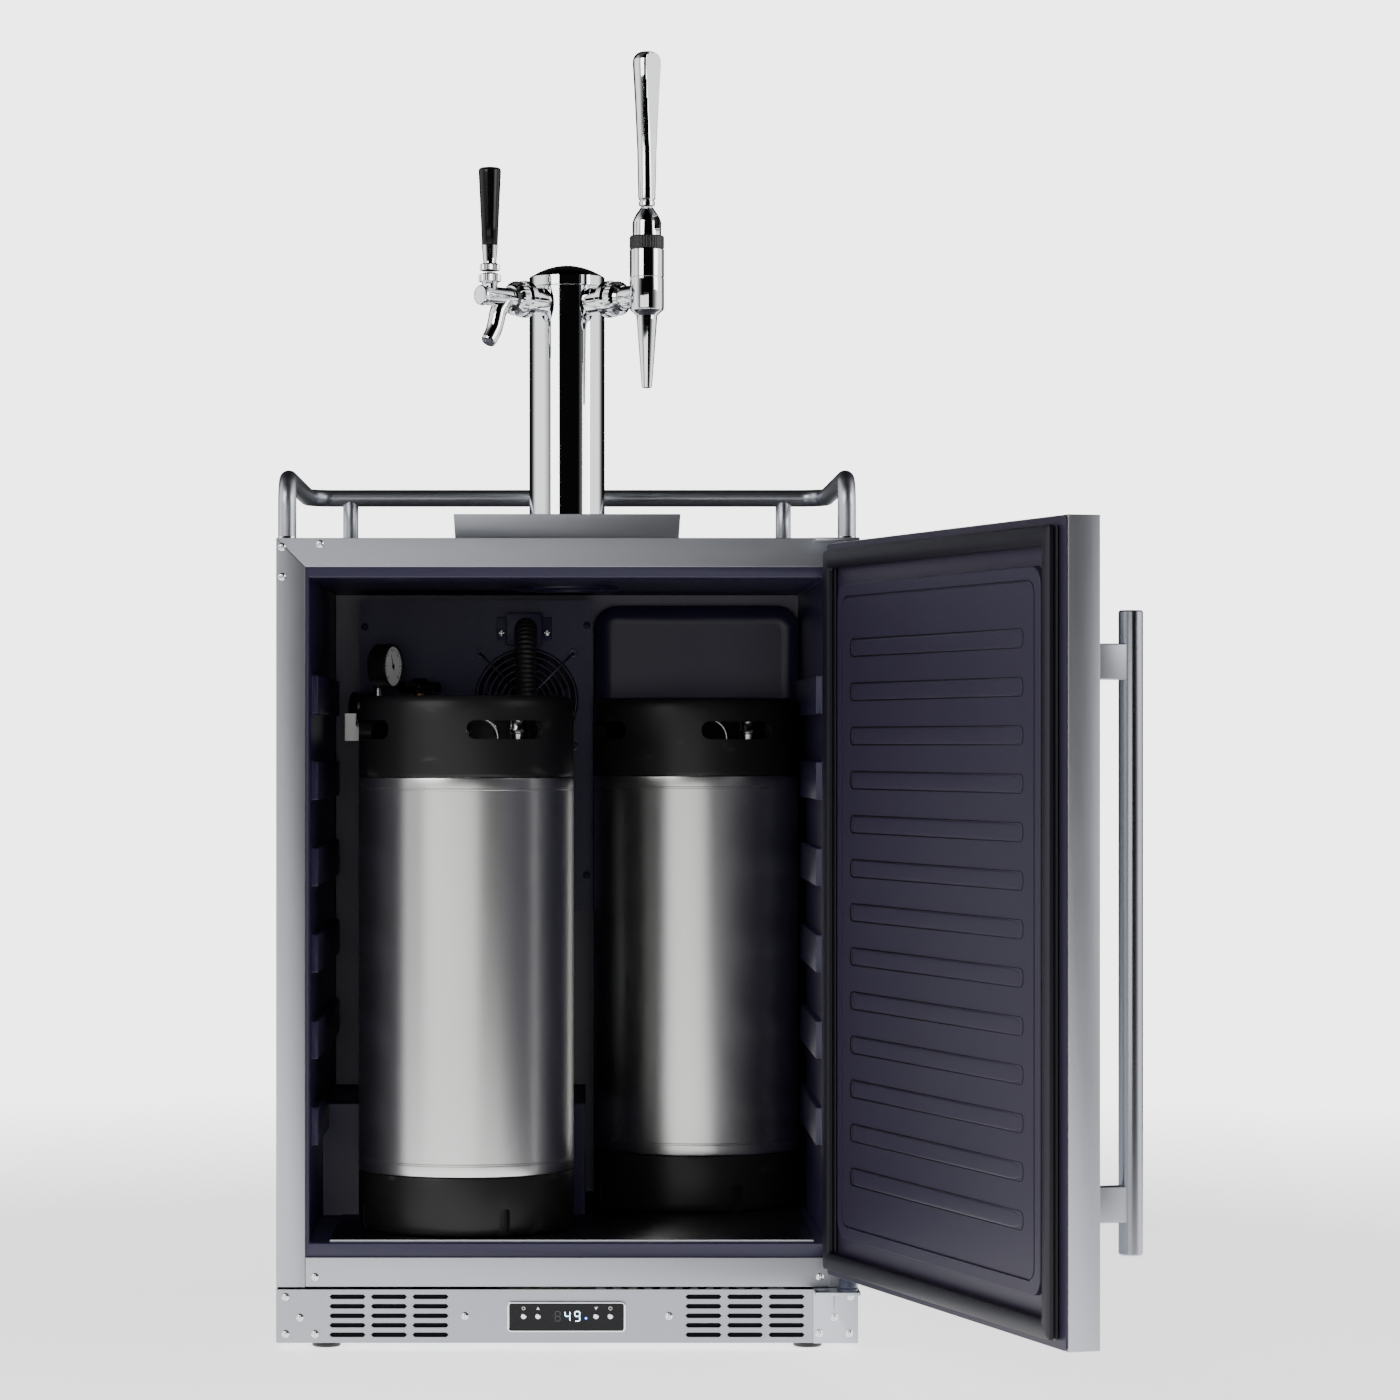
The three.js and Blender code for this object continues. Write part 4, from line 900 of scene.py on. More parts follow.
# Each: the node, its finish, its slot and the rounding of its edges in millimetres.
SHEET_NODES = (
    ("face_stile_left", "steel_upright", "brushed_steel", 0.5),
    ("face_stile_right", "steel_upright", "brushed_steel", 0.5),
    ("face_rail_top", "steel_level", "brushed_steel", 0.5),
    ("face_rail_bottom", "steel_level", "brushed_steel", 0.5),
    # The floor plate's darker steel is painted shade.
    ("floor_plate", "floor_steel", "brushed_steel", 0.6),
    ("drip_tray", "steel_level", "brushed_steel", 0.6),
    ("hinge_bracket_lower", "rail_steel", "hinge_steel", 0.4),
    ("hinge_bracket_upper", "rail_steel", "hinge_steel", 0.4),
    ("hose_bracket", "dark_metal", "dark_metal", 0.8),
    ("power_inlet", "black_plastic", "black_plastic", 0.5),
    ("door_skin", "steel_upright", "brushed_steel", 0.8),
    ("liner", "liner", "liner_plastic", 2.4),
)


class KEGERATOR_OT_sheet(KegeratorOperator):
    """The flat and folded pieces"""

    bl_idname = "kegerator.sheet"
    bl_label = "Case and sheet pieces"

    def build(self):
        for node, finish in PLAIN_NODES.items():
            slots = frame["nodes"][node].data.materials
            slots.clear()
            slots.append(material(finish))
        for node, finish, slot, width in SHEET_NODES:
            softened(node, finish, width * MM)
        # Near-black plates just behind the kick grille's slotted areas.
        dark_backings = [prism(rounded(136, 50, 2, x, 28), -297.2, -296.6) for x in (-183.5, 183.5)]
        make("kick_filter_mats", dark_backings, "engraved", "cabinet")
        # A bright steel strip along the floor plate's front edge: painted highlight where the edge catches
        # the light.
        edge = prism(rounded(500, 1.8, 0.8, 5, 103.9), -287, -285.4)
        make("floor_front_edge", [edge], "rail_steel", "cabinet")
        self.coves()

    def coves(self):
        """The rounded hollow in the liner's back wall: a quarter circle from each side onto the flat back."""
        t = np.linspace(0, math.pi / 2, 12)
        curve = np.stack([20 - 20 * np.cos(t), 175 + 20 * np.sin(t)], -1).tolist()
        section = curve + [(20, 198.6), (0, 198.6)]
        corners = [26 - inset for inset, _ in section]
        hollow = framed(section, 117, 273, corners, 148, 502, 10)
        back = prism(rounded(2 * 97, 2 * 253, 6, 148, 502, 10), 195, 198.6)
        make("liner_back_hollow", [hollow, back], "liner", "cabinet", sharp=40)


class KEGERATOR_OT_screws(KegeratorOperator):
    """Cross-head screws on the frame, the kick plate, the hinge, the cooling cover and the back"""

    bl_idname = "kegerator.screws"
    bl_label = "Screws"

    def build(self):
        head = screw_head(sizes().screw / MM)
        left, right = CASE_LOW[0], CASE_HIGH[0]
        top = CASE_HIGH[2]
        frame_screws = [(left + 6.2, top - 9.4), (left + 6.2, top - 40), (left + 45.4, top - 6.3),
                        (left + 40.2, 68), (right - 39.2, 68)]
        kick = [(left + 9.9, 47.4), (left + 24.7, 26.2), (left + 9.9, 9.3), (left + 40.2, 9.3),
                (-105.2, 27.8), (105.2, 27.8)]
        hinge = [(right - 8.2, 48.4), (right - 24.7, 26.8), (right - 40.2, 10.3), (right - 9.3, 10.3)]
        groups = (
            ("frame_screws", frame_screws + kick, FRONT, (0, -1, 0)),
            ("hinge_screws", hinge, FRONT - 2.5, (0, -1, 0)),
            ("cooling_cover_screws", [(-227, 749), (22.6, 751), (8, 616), (-227, 470), (22, 470)],
             COVER_FRONT, (0, -1, 0)),
            ("hose_bracket_screws", [(-73.5, 742), (-22.5, 742)], COVER_FRONT - 1.8, (0, -1, 0)),
            ("rear_screws", [(x, z) for x in (left + 14, 0, right - 14) for z in (28, 196, 216, top - 14)],
             CASE_HIGH[1] - 2.4, (0, 1, 0)),
        )
        for name, places, y, facing in groups:
            heads = [head.aimed((x, y, z), facing) for x, z in places]
            finish = "dark_metal" if "cover" in name else "chrome"
            make(name, heads, finish, "cabinet", sharp=40)


SEGMENTS = {"a": (0, 1, 0), "b": (1, 0.5, 1), "c": (1, -0.5, 1), "d": (0, -1, 0), "e": (-1, -0.5, 1),
            "f": (-1, 0.5, 1), "g": (0, 0, 0)}


BUTTONS = ("button_unit", "button_up", "button_down", "button_power")


class KEGERATOR_OT_panel(KegeratorOperator):
    """The control panel's rim, its buttons, signs and lit number"""

    bl_idname = "kegerator.panel"
    bl_label = "Control panel"

    def segment(self, x, z, upright):
        half, thick = 2.2, 0.5
        bar = np.array([(-half, 0), (-half + thick, thick), (half - thick, thick), (half, 0),
                        (half - thick, -thick), (-half + thick, -thick)])
        if upright:
            bar = bar[:, ::-1]
        return prism(bar + (x, z), self.face - 0.08, self.face + 0.05)

    def number(self, x, z, names):
        bars = [SEGMENTS[key] for key in names]
        return [self.segment(x + across * 2.5, z + up * 4.9, upright) for across, up, upright in bars]

    def build(self):
        low, high = span("control_panel")
        centre = (low + high) / 2
        self.face = low[1]
        rim = [(-0.2, self.face + 2.4), (-0.2, self.face - 0.5), (0.3, self.face - 0.9),
               (1.2, self.face - 0.9), (1.7, self.face - 0.4), (1.7, self.face + 0.02)]
        half = (high - low) / 2
        corners = [3.9 - inset for inset, _ in rim]
        make("panel_rim", [framed(rim, half[0], half[2], corners, centre[0], centre[2])], "chrome", "cabinet",
             sharp=50)
        z = middle("button_unit")[2]
        make("display_ghost", self.number(-9.6, z, "abcdefg"), "unlit", "cabinet", sharp=20)
        make("display_number", self.number(0.5, z, "bcfg") + self.number(10.6, z, "abcdfg"), "lit", "cabinet",
             sharp=20)
        make("display_light", [rod((19.6, self.face - 0.2, z - 2), (19.6, self.face + 0.2, z - 2), 1.1, 20)],
             "indicator", "cabinet")
        for node in BUTTONS:
            low, high = span(node)
            x = (low[0] + high[0]) / 2
            length = high[1] - low[1]
            cap = [(0, length), (3, length), (3, 0.9), (2.75, 0.35), (2.3, 0.05), (1.2, 0.12), (0, 0.2)]
            make(node + "_dome", [turned(cap, 36).aimed((x, low[1], z), (0, 1, 0))], "chrome", node + "_cap",
                 (node,), sharp=40)
        self.signs(z + 8.2)

    def signs(self, z):
        y0, y1 = self.face - 0.08, self.face + 0.05
        x = [middle(node)[0] for node in BUTTONS]
        up = prism([(x[1] - 1.7, z - 1.4), (x[1] + 1.7, z - 1.4), (x[1], z + 1.6)], y0, y1)
        down = prism([(x[2] - 1.7, z + 1.4), (x[2] + 1.7, z + 1.4), (x[2], z - 1.6)], y0, y1)
        degree = hoop(1.5, 0.25, 24, 8).aimed((x[0], self.face, z), (0, -1, 0))
        a = np.linspace(math.radians(125), math.radians(415), 28)
        arc = np.stack([x[3] + 1.7 * np.cos(a), 0 * a + self.face, z + 1.7 * np.sin(a)], -1)
        power = [tube(arc, 0.25, (0, 1, 0), 8), rod((x[3], self.face, z + 0.2), (x[3], self.face, z + 2.1),
                                                    0.25, 8)]
        make("panel_signs", [up, down, degree, *power], "print", "cabinet", sharp=20)


class KEGERATOR_OT_rail(KegeratorOperator):
    """The guard rail round the top, with a small flange under each post"""

    bl_idname = "kegerator.rail"
    bl_label = "Guard rail"

    def build(self):
        low, high = span("guard_rail")
        radius = 9.5
        bend = sizes().rail_bend / MM
        x, back, top = high - radius
        front, foot = low[1] + radius, low[2]
        corners = np.array([(-x, front, foot), (-x, front, top), (-x, back, top), (x, back, top),
                            (x, front, top), (x, front, foot)])
        line = self.bent(corners, bend)
        post = 243
        parts = [tube(line, radius, (0.3, 0.5, 0.81), 40)]
        posts = [(-x, front), (x, front), (-post, back), (post, back)]
        parts += [rod((px, back, foot), (px, back, top), radius * 0.9, 36) for px in (-post, post)]
        make("rail_tube", parts, "rail_steel", "cabinet", ("guard_rail",), sharp=50)
        collar = [(0, 0), (radius + 0.1, 0), (radius + 0.1, 2.2), (radius - 0.6, 3.4), (0, 3.4)]
        feet = [turned(collar).moved(px, py, foot) for px, py in posts]
        make("rail_collars", feet, "chrome", "cabinet", sharp=30)

    def bent(self, corners, bend):
        """Straight runs whose square corners are quarter circles of the bend's radius."""
        heading = np.diff(corners, axis=0)
        heading = heading / np.linalg.norm(heading, axis=1)[:, None]
        into, out = heading[:-1, None, :], heading[1:, None, :]
        a = np.linspace(0, math.pi / 2, 14)[None, :, None]
        centre = corners[1:-1, None, :] + bend * (out - into)
        arcs = centre - bend * out * np.cos(a) + bend * into * np.sin(a)
        return np.vstack([corners[:1], arcs.reshape(-1, 3), corners[-1:]])


class KEGERATOR_OT_tower(KegeratorOperator):
    """The polished column, its foot and its domed cap"""

    bl_idname = "kegerator.tower"
    bl_label = "Draft tower"

    def build(self):
        foot = span("tower_column")[0][2]
        seam = span("tower_column")[1][2]
        top = span("tower_cap")[1][2]
        r = 41.5
        column = [(39.5, foot), (48.5, foot), (49, foot + 0.6), (48.6, foot + 2), (44, foot + 3.6),
                  (42, foot + 5.2), (r, foot + 7.5), (r, seam - 0.7), (r - 0.5, seam), (39.5, seam),
                  (39.5, foot)]
        make("tower_tube", [turned(column, 128)], "chrome", "cabinet", ("tower_column",), sharp=28)
        edge = seam + 11
        inward = np.linspace(1, 0, 16)
        dome = [((r - 0.5) * t, edge + 0.5 + (top - edge - 0.5) * (1 - t * t)) for t in inward]
        cap = [(0, seam - 5), (38, seam - 5), (38.8, seam + 0.3), (r - 0.4, seam + 0.3), (r, seam + 0.8),
               (r, edge)]
        cap += dome
        make("tower_dome", [turned(cap, 128)], "chrome", "cabinet", ("tower_cap",), sharp=28)
        for node, turn in (("shank_left", -45), ("shank_right", 45)):
            self.shank(node, turn)
        ring = [(40, 0), (40, -2.6), (41, -3.4), (54, -3.4), (57.5, -1.6), (57.5, 0), (40, 0)]
        make("ceiling_ring", [turned(ring, 96).moved(z=CEILING)], "liner", "cabinet",
             sharp=40)

    def shank(self, node, turn):
        """Round saddle, wide collar, then a ribbed coupling nut, in one turning about the shank's axis."""
        z = SHANK_Z
        line = [(0, 36), (15.3, 36), (15.3, 62), (19.4, 62), (20, 62.8), (20, 69), (19.2, 70), (17.6, 70),
                (17.6, 73), (18.4, 74), (18.4, 81), (16.6, 82.5), (14.6, 84), (13, 87.6), (0, 87.6)]
        body = turned(line, 96, 30, 0.28, (74, 81)).aimed((0, 0, z), (0, -1, 0)).spun(turn)
        make(node + "_fitting", [body], "chrome", "cabinet", (node,), sharp=26)


class KEGERATOR_OT_beer_tap(KegeratorOperator):
    """The beer faucet with its curved spout, lever collar and black handle"""

    bl_idname = "kegerator.beer_tap"
    bl_label = "Beer faucet"
    reach = 118.0
    turn = -45.0

    def build(self):
        z, reach = SHANK_Z, self.reach
        barrel = [(0, 86), (11.4, 86), (11.4, 90), (10.3, 91), (10.3, reach + 8.4), (11, reach + 9),
                  (11.3, reach + 11), (10.6, reach + 14), (9.6, reach + 15), (8.8, reach + 15.2),
                  (8.4, reach + 14.3), (7.6, reach + 14.3), (7.2, reach + 15.1), (0, reach + 15.4)]
        parts = [turned(barrel).aimed((0, 0, z), (0, -1, 0))]
        line = smooth_line([(0, -93, z - 1), (0, -100, z - 9), (0, -105.5, z - 17), (0, -108.5, z - 27),
                            (0, -112, z - 37), (0, -117, z - 45), (0, -121, z - 50)], 9)
        wide = np.interp(np.linspace(0, 1, len(line)), [0, 0.3, 0.8, 0.95, 1], [9.8, 9.4, 8.6, 8.4, 7.4])
        parts.append(tube(line, wide, (1, 0, 0), 40))
        neck = [(0, z), (8.2, z), (8.2, 1113.5), (9.2, 1116.6), (11.9, 1117.4), (11.9, 1124.4), (11, 1124.9),
                (10.2, 1125), (7.8, 1126.3), (5, 1127.2), (0, 1127.7)]
        parts.append(turned(neck, 96, 36, 0.22, (1117, 1124.6)).moved(0, -reach, 0))
        make("beer_faucet_body", [p.spun(self.turn) for p in parts], "chrome", "cabinet",
             ("beer_faucet",), sharp=30)
        lever = [(0, 0), (9.8, 0), (10.8, 0.8), (10.8, 6.2), (9.6, 7.2), (7.2, 8.2), (7.1, 10), (7.5, 14),
                 (8.7, 27.4), (0, 27.4)]
        shape = turned(lever, 96, 36, 0.22, (0.7, 6.3)).moved(0, -reach, 1129)
        make("tap_lever_ferrule", [shape.spun(self.turn)], "chrome", "beer_lever", ("tap_lever",),
             sharp=30)
        low, high = span("tap_handle")
        b, t = low[2], high[2]
        grip = [(0, b), (8.1, b), (8.6, b + 0.6), (9.4, b + 20), (12.1, t - 6), (12.2, t - 3.6),
                (11.6, t - 1.4), (10, t - 0.3), (8, t), (0, t)]
        make("tap_handle_grip", [turned(grip).moved(0, -reach, 0).spun(self.turn)], "black_gloss",
             "beer_lever", ("tap_handle",), sharp=45)


class KEGERATOR_OT_stout_tap(KegeratorOperator):
    """The stout faucet with its yoke, black lock ring, long nozzle and paddle handle"""

    bl_idname = "kegerator.stout_tap"
    bl_label = "Stout faucet"
    reach = 122.0
    turn = 45.0

    def put(self, shape):
        return shape.moved(0, -self.reach, 0).spun(self.turn)

    def build(self):
        z = SHANK_Z
        body = [(0, 1076), (11.2, 1076), (11.4, 1080), (14.8, 1083.6), (17.8, 1086), (18.6, 1088.4),
                (18.6, 1120.2), (18, 1120.9), (18, 1121.3), (18.6, 1122), (18.6, 1151), (18, 1152), (0, 1152)]
        coupling = turned([(0, 84), (12, 84), (12.6, 86), (12.6, 108), (0, 108)], 96, 24, 0.3, (87, 107))
        parts = [self.put(turned(body, 96)), coupling.aimed((0, 0, z), (0, -1, 0)).spun(self.turn)]
        make("stout_body", parts, "chrome", "cabinet", ("stout_faucet",), sharp=28)
        nozzle = [(0, 1002), (3.8, 1002), (5.4, 1002.6), (5.8, 1005), (11.2, 1076.5), (0, 1076.5)]
        make("stout_nozzle", [self.put(turned(nozzle, 96))], "chrome", "cabinet", sharp=35)
        ring = [(0, 1152.2), (17.6, 1152.2), (18.5, 1153), (18.5, 1165), (17.6, 1166.2), (0, 1166.2)]
        make("stout_lock_ring", [self.put(turned(ring, 120, 40, 0.2, (1152.9, 1165.1)))], "black_plastic",
             "cabinet", sharp=28)
        arch = [(0, 1166.4), (15.6, 1166.4), (15.6, 1181), (14, 1185.5), (11.2, 1190.5), (8, 1195),
                (6.2, 1197.6), (0, 1198)]
        slot = prism(rounded(8.6, 20, 4.2, 0, 1180), -30, 30)
        make("stout_yoke", [self.put(turned(arch, 96))], "chrome", "cabinet", sharp=30,
             cutters=[self.put(slot)])
        self.paddle()

    def paddle(self):
        """A round handle squeezed flat in front and behind: each ring is (R cos a, R sin a held within
        the flats, z), so the flats begin where the handle grows wider than them."""
        low, high = span("stout_handle")
        foot, top = low[2], high[2]
        profile = [(0, 0), (7.6, 0), (8.8, 0.8), (8.8, 4.6), (7.4, 5.4), (9.3, 8), (9.8, 30), (10.4, 60),
                   (11.8, 90), (13, 115), (14.2, 135), (15.4, 153), (15.2, 158), (13.4, 162), (11, 164.6),
                   (7.6, 166.2), (3.5, 167), (0, 167.3)]
        r, z = np.array(profile).T
        z = foot + z * (top - foot) / z[-1]
        flat = np.interp(z, [foot, foot + 8, top], [12, 9.2, 9.8])
        a = np.linspace(0, 2 * math.pi, 96, endpoint=False)[None, :]
        x = r[:, None] * np.cos(a)
        y = np.clip(r[:, None] * np.sin(a), -flat[:, None], flat[:, None])
        shape = skin(np.stack([x, y, z[:, None] + 0 * a], -1))
        make("stout_paddle", [self.put(shape)], "chrome", "stout_lever", ("stout_handle",),
             sharp=20)


class KEGERATOR_OT_kegs(KegeratorOperator):
    """Both kegs: welded shells, rubber chimes, lids, bails and posts"""

    bl_idname = "kegerator.kegs"
    bl_label = "Kegs"

    def build(self):
        for name in ("keg_left", "keg_right"):
            centre = middle(name + "_shell")
            self.keg(name, centre[0], centre[1])

    def seam(self, z):
        """A weld bead between two shallow grooves."""
        return [(114.2, z - 1.6), (113.7, z - 1.2), (114.25, z - 0.5), (114.25, z + 0.5), (113.7, z + 1.2),
                (114.2, z + 1.6)]

    def keg(self, name, x, y):
        def put(shape):
            return shape.moved(x, y, 0)

        shell = [(0, 126), (60, 130), (92, 142), (103.6, 156), (103.6, 167.4), (112.6, 167.4), (113.8, 168.2),
                 (114.2, 169.6), *self.seam(180), *self.seam(570), (114.2, 580.4), (113.8, 581.8),
                 (112.6, 582.6), (103.6, 582.6), (103.6, 596), (99, 602), (92, 606), (76, 610), (60, 612),
                 (0, 613)]
        make(name + "_vessel", [put(turned(shell, 144))], "keg_steel", name, (name + "_shell",),
             sharp=38)
        top = [(104, 583), (112.8, 583), (113.8, 584.2), (114.1, 587), (114.1, 640), (113.8, 654),
               (112.8, 661), (110.6, 665.8), (107, 668), (101.5, 668.2), (98.4, 666.8), (96.8, 663.6),
               (96.8, 656), (99, 644), (102, 622), (104, 607), (104, 583)]
        holes = [put(prism(rounded(86, 19.7, 8.6, 0, 632.5), -130,
                           -80).spun(23.6 + 90 * k)) for k in range(4)]
        make(name + "_top_rubber", [put(turned(top, 144))], "rubber", name,
             (name + "_top_chime",), sharp=40, cutters=holes)
        base = [(104, 167), (104, 126), (97, 117.5), (90.6, 113.4), (90, 112), (90, 106), (90.7, 105.3),
                (108.5, 105.3), (111.4, 106.4), (113.2, 109.6), (113.9, 116), (114.1, 128), (114.1, 164.6),
                (113.4, 166.6), (112.4, 167), (104, 167)]
        notches = [put(prism(rounded(11.4, 60, 3, 0, 104.3), -130,
                             -106).spun(21.9 + 90 * k)) for k in range(4)]
        make(name + "_base_rubber", [put(turned(base, 144))], "rubber", name,
             (name + "_base_chime",), sharp=40, cutters=notches)
        self.fittings(name, put)

    def fittings(self, name, put):
        """Oval lid with its bail and relief valve, and the two posts with their caps."""
        lid = turned([(0, 611), (45, 611), (47, 613), (47, 616.5), (45, 618), (38, 618.6), (30, 616),
                      (0, 615)])
        lid.points[:, 1] *= 0.8
        valve = turned([(0, 614), (7, 614), (7, 622), (5, 624), (5, 631), (3.5, 633), (0, 633)], 36)
        a = np.linspace(0, math.pi, 22)
        bail = np.stack([34 * np.cos(a), -16 + 0 * a, 619 + 29 * np.sin(a) ** 0.7], -1)
        shapes = [lid, valve, tube(bail, 2.6, (0, 1, 0), 16)]
        post = [(0, 610), (12.5, 610), (12.5, 617), (9.2, 618), (9.2, 628), (10.4, 629.4), (10.4, 633),
                (9, 635), (9, 642), (7, 644), (0, 644)]
        for turn in (0, 180):
            shapes.append(turned(post, 48).moved(74, 0, 0).spun(turn - 40))
        make(name + "_lid_and_posts", [put(s) for s in shapes], "regulator", name, sharp=35)


class KEGERATOR_OT_gas(KegeratorOperator):
    """The gas cylinder, its valve and handwheel, the regulator and the gauge"""

    bl_idname = "kegerator.gas"
    bl_label = "Gas"

    def build(self):
        x, y = middle("gas_cylinder")[:2]

        def put(shape):
            return shape.moved(x, y, 0)

        b = HUMP_TOP
        a = np.linspace(0, math.pi / 2, 12)
        shoulder = [(22 + 44.5 * math.cos(t), 555 + 56 * math.sin(t)) for t in a]
        tank = [(0, b + 3), (40, b + 3), (52, b), (60, b), (64.6, b + 2.6), (66.5, b + 8), *shoulder,
                (16.4, 614), (16, 616), (16, 631.8), (0, 631.8)]
        make("gas_tank", [put(turned(tank, 120))], "aluminium", "cabinet", ("gas_cylinder",),
             sharp=36)
        stem = [(0, 0), (14.4, 0), (15, 0.6), (15, 5.4), (11.5, 8), (11.5, 34), (7, 36), (7, 40.8), (0, 40.8)]
        outlet = rod((0, 0, 652), (-25, -5, 652), 9.5, 40)
        make("valve_body", [put(turned(stem, 48).moved(z=632.3)), put(outlet)], "brass", "cabinet",
             ("cylinder_valve",))
        wheel = [(0, 0), (8, 0), (14, 2.6), (19, 1.2), (21.6, 1), (23, 4), (23, 9), (21.6, 12), (19, 12.2),
                 (14, 10.4), (9, 14), (7.4, 16.4), (0, 17)]
        rim = turned(wheel, 96, 8, 0.7, (0.9, 12.4)).moved(z=span("valve_handwheel")[0][2])
        make("handwheel_scalloped", [put(rim)], "black_gloss", "handwheel",
             ("valve_handwheel",), sharp=40)
        self.regulator(put)
        self.gauge(put)

    def regulator(self, put):
        z = 652
        nut = turned([(0, 0), (13.4, 0), (13.4, 12.4), (0, 12.4)], 6).aimed((-25.6, -5.1, z),
                                                                            (-12.5, -2.5, 0))
        body = turned([(0, 0), (21.5, 0), (23, 1.5), (23, 12), (22, 13), (22, 17), (23, 18), (23, 29.5),
                       (21.5, 31), (0, 31)], 72).aimed((-44, -8, z), (-30, -8, 0))
        parts = [nut, rod((-36, -7.2, z), (-48, -9.6, z), 7, 32), body,
                 rod((-45, -24, z + 3), (-45, -24, z + 27), 5, 32), rod((-52, -12, z + 3), (-45, -24, z + 5),
                                                                        6, 32)]
        make("regulator_body", [put(p) for p in parts], "regulator", "cabinet",
             ("regulator",))
        axis = np.array([-12.0, -4.0, -24.0])
        bonnet = turned([(0, 0), (17, 0), (17, 18), (16, 20), (12.5, 21), (12.5, 26.5), (11.6, 27), (0, 27)],
                        72, 20, 0.3, (20.5, 26.6))
        make("regulator_bonnet", [put(bonnet.aimed((-60, -12, z), axis))], "black_plastic", "cabinet")
        a = np.linspace(-0.5, 0.5, 16)
        edge = np.stack([17.25 * np.sin(a), -17.25 * np.cos(a)], -1)
        inner = edge * 0.985
        loop = np.vstack([edge, inner[::-1]])
        rows = np.stack([np.column_stack([loop, np.full(len(loop), h)]) for h in (-31.0, -1.0)])
        centre = rows.mean(axis=1, keepdims=True) + 0 * rows
        label = skin(np.concatenate([centre[:1], rows, centre[1:]]))
        make("blank_label", [put(label.moved(-73, -15, z))], "print", "cabinet", sharp=30)

    def gauge(self, put):
        """Black case, white dial with its scale marks, and a needle."""
        facing = np.array([0.914, -0.407, 0.0])
        centre = np.array([-36.0, -28.0, 703.0])
        case = [(0, -11.8), (22.5, -11.8), (24.4, -9.5), (24.4, 8.6), (23.6, 9.8), (22, 9.8), (21.6, 7.6),
                (0, 7.6)]
        make("gauge_case", [put(turned(case, 96).aimed(centre, facing))], "black_plastic", "cabinet",
             ("pressure_gauge",), sharp=30)
        dial = [(0, 7.6), (21.4, 7.6), (21.4, 8.2), (0, 8.2)]
        make("gauge_dial", [put(turned(dial, 96).aimed(centre, facing))], "print", "cabinet",
             sharp=30)
        marks = []
        for step in range(25):
            ray, side = self.dial_ray(step * 270 / 24)
            outer = 19.6
            inner, half = (outer - 4.2, 0.42) if step % 4 == 0 else (outer - 2.4, 0.24)
            ends = [ray * reach + side * aside
                    for reach, aside in ((outer, half), (inner, half), (inner, -half), (outer, -half))]
            marks.append(self.flat(ends, 8.15, 8.45).aimed(centre, facing))
        make("gauge_marks", [put(m) for m in marks], "ink", "cabinet", sharp=20)
        ray, side = self.dial_ray(0.42 * 270)
        needle = self.flat([ray * 15, -ray * 4 + side * 1.1, -ray * 4 - side * 1.1], 8.6, 8.95)
        needle = needle.aimed(centre, facing)
        hub = turned([(0, 8.4), (2.2, 8.4), (2.2, 9.3), (0, 9.5)], 32).aimed(centre, facing)
        make("gauge_needle", [put(needle), put(hub)], "ink", "cabinet", sharp=20)

    def dial_ray(self, degrees):
        """The directions along and across a mark, so far round the scale from its start at lower left."""
        a = math.radians(225 - degrees)
        return np.array([math.cos(a), math.sin(a)]), np.array([-math.sin(a), math.cos(a)])

    def flat(self, corners, z0, z1):
        """A thin plate of the given corners in XY."""
        ring = np.asarray(corners, float)
        mid = ring.mean(0) + 0 * ring
        rows = [(mid, z0), (ring, z0), (ring, z1), (mid, z1)]
        return skin(np.stack([np.column_stack([flat, np.full(len(flat), z)]) for flat, z in rows]))


